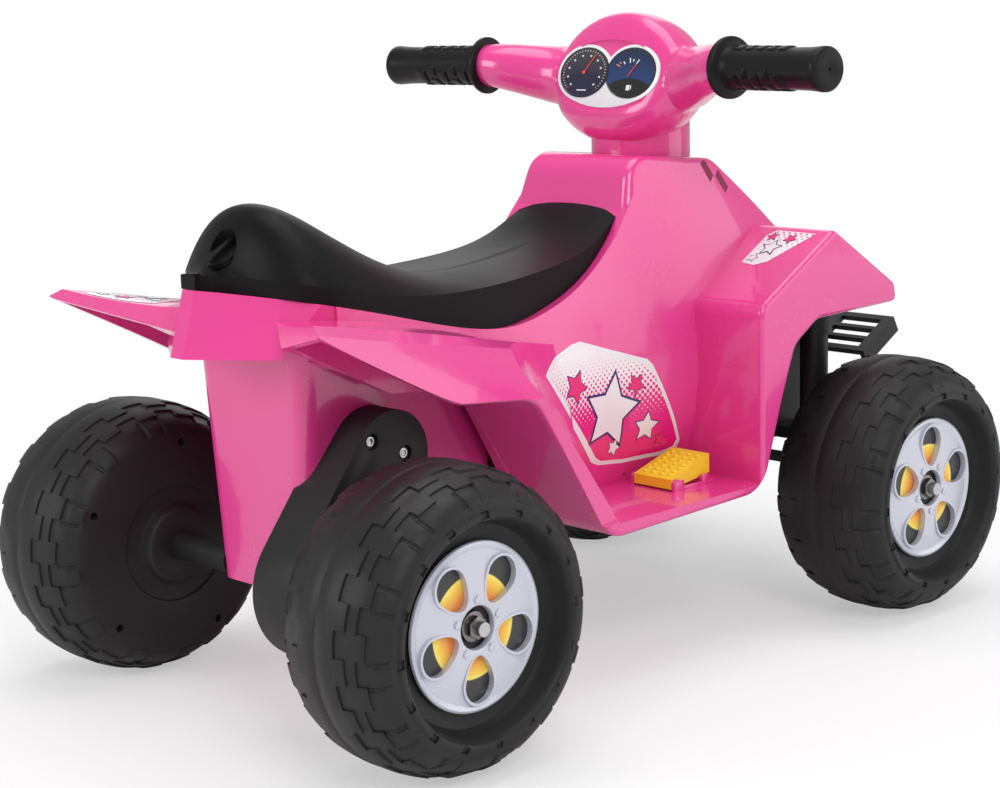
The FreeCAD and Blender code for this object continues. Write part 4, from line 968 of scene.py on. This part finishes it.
def makeDials():
    lift = dash["face"] + dials["thick"]
    ink = dials["ink"]
    left = Vector((-dash["dialSide"], dash["dialRise"], 0))
    right = Vector((dash["dialSide"], dash["dialRise"], 0))
    makeDisc("speedDial", left, speedFace)
    makeDisc("levelDial", right, levelFace)
    whiteMarks = []
    orangeMarks = []
    number, first, step = dials["ticks"]
    short, long, width = dials["tick"]
    block, blockFar = dials["block"]
    for count in range(number):
        turn = first - count * step
        if count % dials["longEvery"]:
            whiteMarks.append(dialBar((short, width, ink), dials["tickFar"], turn, left, lift))
        else:
            orangeMarks.append(dialBar((long, width, ink), dials["tickFar"], turn, left, lift))
            whiteMarks.append(dialBar((block, block, ink), blockFar, turn, left, lift))
    height, width, far = dials["foot"]
    whiteMarks.append(dialBar((height, width, ink), far, 270, left, lift))
    for marks, (width, far, bars) in ((whiteMarks, dials["whiteBars"]), (orangeMarks, dials["orangeBars"])):
        marks += [dialBar((length, width, ink), far, turn, right, lift) for turn, length in bars]
    for name in ("pump", "spout"):
        width, height, x, y = dials[name]
        whiteMarks.append(roundBlock(name, (width, height, ink), right + Vector((x, y, lift)), 0))
    for name, marks, finish in (("dialMarksWhite", whiteMarks, whitePrint),
                                ("dialMarksOrange", orangeMarks, orangePrint)):
        piece = joinAll(marks)
        piece.name = name
        onDash(piece)
        setFinish(piece, finish)
        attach(piece, "steering")
    radius, height = dials["hub"]
    needles = [drum(24, radius, height, left + Vector((0, 0, lift + height / 2)))]
    for side, turn, length, tail in dials["needles"]:
        middle = left if side < 0 else right
        needles.append(dialBar((length, *dials["needle"]), length / 2 + tail, turn, middle,
                               lift + dials["needleLift"]))
    piece = joinAll(needles)
    piece.name = "dialNeedles"
    softEdges(piece, dials["needleEdge"])
    onDash(piece)
    setFinish(piece, redPrint)
    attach(piece, "steering")


makeDials()
print("dials made")


# pedal studs
studs = {
    "rows": 7,
    "columns": 4,
    "radius": 0.0023,
    "squash": 0.7,
    "rear": (0.0455, 0.13853), # ends of the pedal's slope, x and z
    "front": (0.0840, 0.14982),
    "inset": 0.7,              # first stud from the edge, in columns, and the shift of every second row
    "shift": 0.1,
}


def makeStuds():
    low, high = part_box("pedal")
    pitch = (high.y - low.y) / (studs["columns"] + 0.5)
    pieces = []
    for row in range(studs["rows"]):
        share = (row + 0.5) / studs["rows"]
        x, z = [a + share * (b - a) for a, b in zip(studs["rear"], studs["front"])]
        for column in range(studs["columns"]):
            y = low.y + (column + studs["inset"] + studs["shift"] * (row % 2)) * pitch
            clearChoice()
            bpy.ops.mesh.primitive_uv_sphere_add(segments=16, ring_count=8, radius=studs["radius"],
                                                 location=(x, y, z))
            ball = bpy.context.object
            ball.scale.z = studs["squash"]
            settle(ball)
            pieces.append(ball)
    piece = joinAll(pieces)
    piece.name = "pedalStuds"
    smoothByAngle(piece, 60)
    setFinish(piece, yellowPlastic)
    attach(piece, "pedal")


makeStuds()


# gear case
gearCase = {
    "lobes": [(-0.2570, 0.1060, 0.0540), (-0.2140, 0.1960, 0.0330)],       # x, z, radius
    "outer": -0.0870,
    "flat": math.radians(0.5), # faces that differ less than this are one
    "edge": 0.0016,
    "screws": [(-0.2330, 0.2090), (-0.2025, 0.1960)],
    "pocket": (0.0060, 0.0030),            # radius and depth round each screw
    "screw": (0.0038, 0.0016), # radius and height
    "screwRise": 0.0004,
    "screwWall": 0.45,         # share of the radius left round its recess
    "screwRecess": 0.0007,
    "screwEdge": 0.0003,
}


def makeScrew(name, spot):
    # pan head with a round recess, on a face that looks to the right
    radius, height = gearCase["screw"]
    piece = drum(32, radius, height, (0, 0, gearCase["screwRise"]))
    chooseFaces(piece, facesUp)
    bpy.ops.mesh.inset(thickness=radius * gearCase["screwWall"])
    bpy.ops.mesh.extrude_region_move(TRANSFORM_OT_translate={"value": (0, 0, -gearCase["screwRecess"])})
    endEdit()
    softEdges(piece, gearCase["screwEdge"])
    piece.name = name
    piece.matrix_world = Matrix.Translation(spot) @ Matrix.Rotation(math.pi / 2, 4, "X")
    settle(piece)
    smoothByAngle(piece, 40)
    setFinish(piece, platedSteel)
    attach(piece, "frame")


def makeGearCase():
    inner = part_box("gear_case")[1].y
    outer = gearCase["outer"]
    radius, depth = gearCase["pocket"]
    half = (outer + inner) / 2
    lobes = [drum(96, size, inner - outer, (x, half, z), layDown) for x, z, size in gearCase["lobes"]]
    piece = joinAll(lobes)
    piece.name = "gearCaseCover"
    editAll(piece)
    bpy.ops.mesh.convex_hull()
    bpy.ops.mesh.select_all(action="SELECT")
    bpy.ops.mesh.dissolve_limited(angle_limit=gearCase["flat"])
    endEdit()
    for x, z in gearCase["screws"]:
        combine(piece, drum(32, radius, 2 * depth, (x, outer, z), layDown))
    softEdges(piece, gearCase["edge"], angle=50, segments=3)
    smoothByAngle(piece, 35)
    setFinish(piece, blackPlastic)
    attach(piece, "frame")
    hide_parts("gear_case")
    for count, (x, z) in enumerate(gearCase["screws"]):
        makeScrew("caseScrew.%d" % count, Vector((x, outer + depth, z)))


makeGearCase()


# pink clips beside the pedal
clip = {
    "places": (0.050, 0.079),
    "size": (0.0075, 0.0030, 0.0095),
    "height": 0.1315,
    "sillSize": (0.046, 0.0026, 0.0040),
    "sillSpot": (0.0655, 0.1290),
    "out": 0.0022,             # distance of their middles from the pedal's side
    "edge": 0.0007,
}


def makeClips():
    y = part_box("pedal")[0].y - clip["out"]
    x, z = clip["sillSpot"]
    pieces = [roundBlock("pedalClips", clip["sillSize"], (x, y, z), clip["edge"])]
    for x in clip["places"]:
        pieces.append(roundBlock("pedalClip", clip["size"], (x, y, clip["height"]), clip["edge"]))
    piece = joinAll(pieces)
    smoothByAngle(piece, 40)
    setFinish(piece, pinkPlastic)
    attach(piece, "frame")


makeClips()
print("gear case, studs and screws made")


# printed foils on the body; the flank is drawn in x and z, the rest in x and y
foil = {
    "paper": (0.86, 0.84, 0.86),
    "rough": (0.22, 0.32),
    "coat": 0.3,
    "dotSize": (0.95, -0.08),  # dot radius from the fade, factor and offset
    "flankFrom": 0.30,         # prints start this far out and are dropped on the body
    "topFrom": 0.45,
    "missed": 0.0001,          # points that met no body are still this close to the start
    "flankCells": (56, 40),
    "topCells": (30, 24),
    "lifts": (0.00015, 0.00030),           # white edge and dotted field
    "topLift": 0.00025,
    "points": 5,
    "flankStar": (0.52, 1.14, 0.00042, 0.00056),   # inner share, growth of the rim, lifts of rim and core
    "topStar": (0.5, 1.25, 0.00040, 0.00055),
    "flank": [(-0.064, 0.232), (-0.046, 0.242), (-0.024, 0.249), (-0.012, 0.250), (0.060, 0.227),
              (0.067, 0.220), (0.086, 0.180), (0.098, 0.156), (0.096, 0.148), (0.080, 0.1445),
              (0.040, 0.1445), (0.010, 0.148), (0.001, 0.152)],
    "flankInner": [(-0.057, 0.231), (-0.043, 0.239), (-0.022, 0.2455), (-0.012, 0.2465), (0.058, 0.2235),
                   (0.064, 0.217), (0.083, 0.179), (0.094, 0.157), (0.092, 0.151), (0.079, 0.148),
                   (0.040, 0.148), (0.013, 0.151), (0.006, 0.155)],
    "flankStars": [            # two places, radius, turn, print
        (0.020, 0.190, 0.030, 0.2, whitePrint), (-0.022, 0.216, 0.013, 0.5, magentaPrint),
        (0.060, 0.172, 0.012, 0.1, whitePrint), (0.048, 0.208, 0.009, 0.7, magentaPrint),
        (0.026, 0.160, 0.007, 0.4, whitePrint), (0.076, 0.160, 0.006, 0.3, magentaPrint),
    ],
    "frontFoil": [(0.157, 0.098), (0.155, 0.112), (0.160, 0.122), (0.196, 0.144), (0.197, 0.104),
                  (0.190, 0.098)],
    "frontFoilStars": [
        (0.176, 0.113, 0.0085, 0.3, whitePrint), (0.188, 0.124, 0.0055, 0.8, magentaPrint),
        (0.189, 0.105, 0.0050, 0.1, magentaPrint), (0.163, 0.105, 0.0045, 0.5, whitePrint),
    ],
    "rearFoil": [(-0.290, 0.0835), (-0.299, 0.094), (-0.308, 0.112), (-0.317, 0.133), (-0.312, 0.1375),
                 (-0.285, 0.1365), (-0.262, 0.131), (-0.240, 0.120), (-0.230, 0.100), (-0.238, 0.0865)],
    "rearFoilStars": [
        (-0.272, 0.110, 0.0115, 0.4, whitePrint), (-0.294, 0.116, 0.0075, 0.9, magentaPrint),
        (-0.250, 0.101, 0.0070, 0.1, magentaPrint), (-0.281, 0.094, 0.0055, 0.6, whitePrint),
        (-0.303, 0.130, 0.0050, 0.2, whitePrint),
    ],
}


def layPatch(piece, lay, lift):
    # the flat print is turned to its axis and dropped on the body along it
    axis, plane, toward = lay
    if axis == "Y":
        piece.matrix_world = Matrix.Translation((0, plane, 0)) @ Matrix.Rotation(math.pi / 2, 4, "X")
    else:
        piece.matrix_world = Matrix.Translation((0, 0, plane))
    settle(piece)
    applyModifier(piece, "SHRINKWRAP", wrap_method="PROJECT", target=nodes["body_shell"], use_project_x=False,
                  use_project_y=axis == "Y", use_project_z=axis == "Z", use_negative_direction=toward < 0,
                  use_positive_direction=toward > 0, wrap_mode="ABOVE_SURFACE", offset=lift)
    level = "XYZ".index(axis)
    if choosePoints(piece, lambda vertex: abs(vertex.co[level] - plane) < foil["missed"]):
        bpy.ops.mesh.delete(type="VERT")
    endEdit()
    smoothByAngle(piece, 60)


def patchOn(name, corners, lay, lift, cells):
    # a grid is cut to a convex outline, then laid on the body
    flat = [Vector((*corner, 0)) for corner in corners]
    low = [min(corner[k] for corner in corners) for k in (0, 1)]
    high = [max(corner[k] for corner in corners) for k in (0, 1)]
    clearChoice()
    bpy.ops.mesh.primitive_grid_add(x_subdivisions=cells[0], y_subdivisions=cells[1], size=1)
    piece = bpy.context.object
    piece.name = name
    piece.scale = (high[0] - low[0], high[1] - low[1], 1)
    settle(piece)
    editAll(piece)
    bpy.ops.transform.translate(value=((low[0] + high[0]) / 2, (low[1] + high[1]) / 2, 0))
    centre = sum(flat, Vector((0, 0, 0))) / len(flat)
    for start, end in zip(flat, flat[1:] + flat[:1]):
        edge = end - start
        out = Vector((edge.y, -edge.x, 0))
        if out.dot(centre - start) > 0:
            out = -out
        bpy.ops.mesh.select_all(action="SELECT")
        bpy.ops.mesh.bisect(plane_co=start, plane_no=out.normalized(), clear_outer=True, threshold=cutReach)
    endEdit()
    layPatch(piece, lay, lift)
    return piece


def starPatch(name, spot, radius, inner, turn, lay, lift):
    clearChoice()
    bpy.ops.mesh.primitive_circle_add(vertices=foil["points"] * 2, radius=radius, fill_type="NGON")
    piece = bpy.context.object
    piece.name = name
    choosePoints(piece, lambda vertex: vertex.index % 2 == 1)
    bpy.ops.transform.resize(value=(inner, inner, 1), center_override=(0, 0, 0))
    bpy.ops.mesh.select_all(action="SELECT")
    bpy.ops.mesh.poke()
    bpy.ops.mesh.subdivide(number_cuts=3)
    bpy.ops.mesh.select_all(action="SELECT")
    bpy.ops.transform.rotate(value=turn, orient_axis="Z", center_override=(0, 0, 0))
    bpy.ops.transform.translate(value=(*spot, 0))
    endEdit()
    layPatch(piece, lay, lift)
    return piece


def dotFoilFinish(name, deep, bare, full, axis, pitch):
    # halftone print: along one axis the dots grow from bare white to full colour
    finish, tree, shader, grain = newFinish(name, foil["rough"])
    upright = axis == "Z"
    slant = math.radians(45)
    where = addNode(tree, "ShaderNodeTexCoord")
    split = addNode(tree, "ShaderNodeSeparateXYZ")
    fade = addNode(tree, "ShaderNodeMapRange", {"From Min": bare, "From Max": full})
    turn = addNode(tree, "ShaderNodeMapping", {"Rotation": (0, slant, 0) if upright else (0, 0, slant),
                                               "Scale": (pitch, pitch, pitch)})
    dots = addNode(tree, "ShaderNodeTexVoronoi", {"Randomness": 0.0, "Scale": 1.0},
                   voronoi_dimensions="3D" if upright else "2D")
    flat = addNode(tree, "ShaderNodeVectorMath", {1: (1, 0, 1) if upright else (1, 1, 0)},
                   operation="MULTIPLY")
    edge = addNode(tree, "ShaderNodeMath", {1: foil["dotSize"][0], 2: foil["dotSize"][1]},
                   operation="MULTIPLY_ADD")
    less = addNode(tree, "ShaderNodeMath", operation="LESS_THAN")
    tint = mixNode(tree, {6: (*foil["paper"], 1), 7: (*deep, 1)})
    wire(tree, (where, "Object", split, 0), (split, axis, fade, "Value"), (where, "Object", flat, 0),
         (flat, 0, turn, "Vector"), (turn, "Vector", dots, "Vector"), (fade, "Result", edge, 0),
         (dots, "Distance", less, 0), (edge, 0, less, 1), (less, 0, tint, 0), (tint, 2, shader, "Base Color"),
         (grain, "Roughness", shader, "Roughness"))
    setSockets(shader, {"Coat Weight": foil["coat"]})
    return finish


flankDots = dotFoilFinish("sideDots", (0.78, 0.008, 0.23), 0.246, 0.165, "Z", 260.0)
rampDots = dotFoilFinish("rampDots", (0.80, 0.16, 0.38), 0.160, 0.240, "X", 240.0)
tailDots = dotFoilFinish("tailDots", (0.80, 0.16, 0.38), -0.330, -0.200, "X", 240.0)


def printOn(piece, finish):
    setFinish(piece, finish)
    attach(piece, "frame")


def makeStars(rimName, coreName, word, stars, shape, lay):
    inner, grow, rimLift, coreLift = shape
    for count, (x, way, radius, turn, ink) in enumerate(stars):
        ending = ".%s.%d" % (word, count)
        printOn(starPatch(rimName + ending, (x, way), radius * grow, inner, turn, lay, rimLift), navyPrint)
        printOn(starPatch(coreName + ending, (x, way), radius, inner, turn, lay, coreLift), ink)


def makeFoils(side, word):
    lay = ("Y", side * foil["flankFrom"], -side)
    edgeLift, dotLift = foil["lifts"]
    printOn(patchOn("sideFoilEdge." + word, foil["flank"], lay, edgeLift, foil["flankCells"]), whitePrint)
    printOn(patchOn("sideFoil." + word, foil["flankInner"], lay, dotLift, foil["flankCells"]), flankDots)
    makeStars("starRim", "star", word, foil["flankStars"], foil["flankStar"], lay)
    lay = ("Z", foil["topFrom"], -1)
    fields = {"frontFoil": rampDots}
    if side > 0:
        fields["rearFoil"] = tailDots      # the right rear fender stays bare
    for name, finish in fields.items():
        corners = [(x, side * y) for x, y in foil[name]]
        stars = [(x, side * y, *rest) for x, y, *rest in foil[name + "Stars"]]
        printOn(patchOn(name + "." + word, corners, lay, foil["topLift"], foil["topCells"]), finish)
        makeStars(name + "Rim", name + "Core", word, stars, foil["topStar"], lay)


# painted shade: dark crimson patches laid on the hood stand in for the shadowed insides of its two slots
hoodSlotShade = {
    # tones of the painted shade inside the slots
    "look": {"tones": ((0.20, 0.004, 0.045), (0.26, 0.006, 0.06), (0.3, 0.02, 0.08)), "rough": (0.5, 0.6),
             "grainScale": 1200.0, "bump": 0.02},
    "outlines": [[(0.1530, 0.0585), (0.1590, 0.0560), (0.1650, 0.0615), (0.1590, 0.0640)],
                 [(0.1680, 0.0615), (0.1740, 0.0590), (0.1810, 0.0640), (0.1750, 0.0665)]],
    "lift": 0.0002,
    "cells": (10, 10),
}
# finish of the painted slot shade
slotPrint = plasticFinish("slotPrint", hoodSlotShade["look"])


def paintHoodSlotShade(side, word):
    lay = ("Z", foil["topFrom"], -1)
    for count, outline in enumerate(hoodSlotShade["outlines"]):
        corners = [(x, side * y) for x, y in outline]
        piece = patchOn("hoodSlot.%s.%d" % (word, count), corners, lay, hoodSlotShade["lift"], hoodSlotShade["cells"])
        # the patch carries the painted shade of a slot
        setFinish(piece, slotPrint)
        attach(piece, "frame")


for makeSide in (makeFoils, paintHoodSlotShade):
    makeSide(-1, "right")
    makeSide(1, "left")
print("foils made")


# camera
view = {
    "spot": Vector((-1.15670, -1.18200, 0.51119)),
    "yaw": 0.7936,
    "pitch": 0.1943,
    "roll": -0.024,
    "lens": 75.43,
    "sensor": 36,
    "shift": (-0.02813, 0.01489),
    "farthest": 50,
}


def placeCamera():
    level = math.cos(view["pitch"])
    ahead = Vector((math.cos(view["yaw"]) * level, math.sin(view["yaw"]) * level, -math.sin(view["pitch"])))
    right = Vector((math.sin(view["yaw"]), -math.cos(view["yaw"]), 0))
    up = right.cross(ahead)
    tilt = math.cos(view["roll"]), math.sin(view["roll"])
    rightTurned = right * tilt[0] + up * tilt[1]
    upTurned = up * tilt[0] - right * tilt[1]
    bpy.ops.object.camera_add(location=view["spot"])
    camera = bpy.context.object
    turn = Matrix((rightTurned, upTurned, -ahead)).transposed()
    camera.rotation_euler = turn.to_euler()
    camera.data.lens = view["lens"]
    camera.data.sensor_width = view["sensor"]
    camera.data.shift_x, camera.data.shift_y = view["shift"]
    camera.data.clip_end = view["farthest"]
    bpy.context.scene.camera = camera


clearChoice()
placeCamera()


# studio
studio = {
    "worldFill": 0.42,
    "lamps": [                 # name, spot, size, power
        ("keyLamp", (-1.2, -2.2, 2.0), 1.2, 27),
        ("skyLamp", (0.1, 0.0, 2.4), 1.8, 26),
        ("sideLamp", (1.7, -1.8, 0.95), 1.8, 15),
        ("rearLamp", (-2.4, 0.9, 1.1), 1.1, 20),
        ("farLamp", (1.8, 2.0, 1.6), 1.8, 8),
    ],
    "aim": Vector((0, 0, 0.22)),
    "floorSize": 12,
    "floorGrey": 0.93,
    "floorNear": 0.40,         # inside this reach the floor keeps its shadow
    "floorFar": 0.80,
    "floorVeil": 0.45,         # white already mixed in there, so the shadow stays light
}


def floorPaint():
    paint = bpy.data.materials.new("paleFloorPaint")
    paint.use_nodes = True
    tree = paint.node_tree
    shader = tree.nodes["Principled BSDF"]
    leave = tree.nodes["Material Output"]
    grey = studio["floorGrey"]
    setSockets(shader, {"Base Color": (grey, grey, grey, 1), "Roughness": 0.9, "Specular IOR Level": 0.0})
    white = addNode(tree, "ShaderNodeEmission")
    where = addNode(tree, "ShaderNodeTexCoord")
    size = addNode(tree, "ShaderNodeVectorMath", operation="LENGTH")
    far = addNode(tree, "ShaderNodeMapRange", interpolation_type="SMOOTHSTEP")
    setSockets(far, {"From Min": studio["floorNear"], "From Max": studio["floorFar"],
                     "To Min": studio["floorVeil"]})
    path = addNode(tree, "ShaderNodeLightPath")
    seen = addNode(tree, "ShaderNodeMath", operation="MULTIPLY")
    mix = addNode(tree, "ShaderNodeMixShader")
    wire(tree, (where, "Object", size, 0), (size, "Value", far, "Value"), (far, "Result", seen, 0),
         (path, "Is Camera Ray", seen, 1), (seen, 0, mix, 0), (shader, 0, mix, 1), (white, 0, mix, 2),
         (mix, 0, leave, "Surface"))
    return paint


def whiteStage():
    scene = bpy.context.scene
    scene.view_settings.view_transform = "Standard"
    world = bpy.data.worlds.new("studioWorld")
    scene.world = world
    world.use_nodes = True
    tree = world.node_tree
    tree.nodes.clear()
    leave = addNode(tree, "ShaderNodeOutputWorld")
    seen = addNode(tree, "ShaderNodeBackground", {"Color": (1, 1, 1, 1)})
    fill = addNode(tree, "ShaderNodeBackground", {"Color": (1, 1, 1, 1), "Strength": studio["worldFill"]})
    mix = addNode(tree, "ShaderNodeMixShader")
    path = addNode(tree, "ShaderNodeLightPath")
    wire(tree, (path, "Is Camera Ray", mix, 0), (fill, 0, mix, 1), (seen, 0, mix, 2), (mix, 0, leave, 0))
    for name, spot, size, power in studio["lamps"]:
        bpy.ops.object.light_add(type="AREA", location=spot)
        lamp = bpy.context.object
        lamp.name = name
        lamp.data.size = size
        lamp.data.energy = power
        lamp.rotation_euler = (studio["aim"] - Vector(spot)).to_track_quat("-Z", "Y").to_euler()
    bpy.ops.mesh.primitive_plane_add(size=studio["floorSize"], location=(0, 0, 0))
    floor = bpy.context.object
    floor.name = "paleFloor"
    floor.data.materials.append(floorPaint())


whiteStage()
print("camera and studio set")
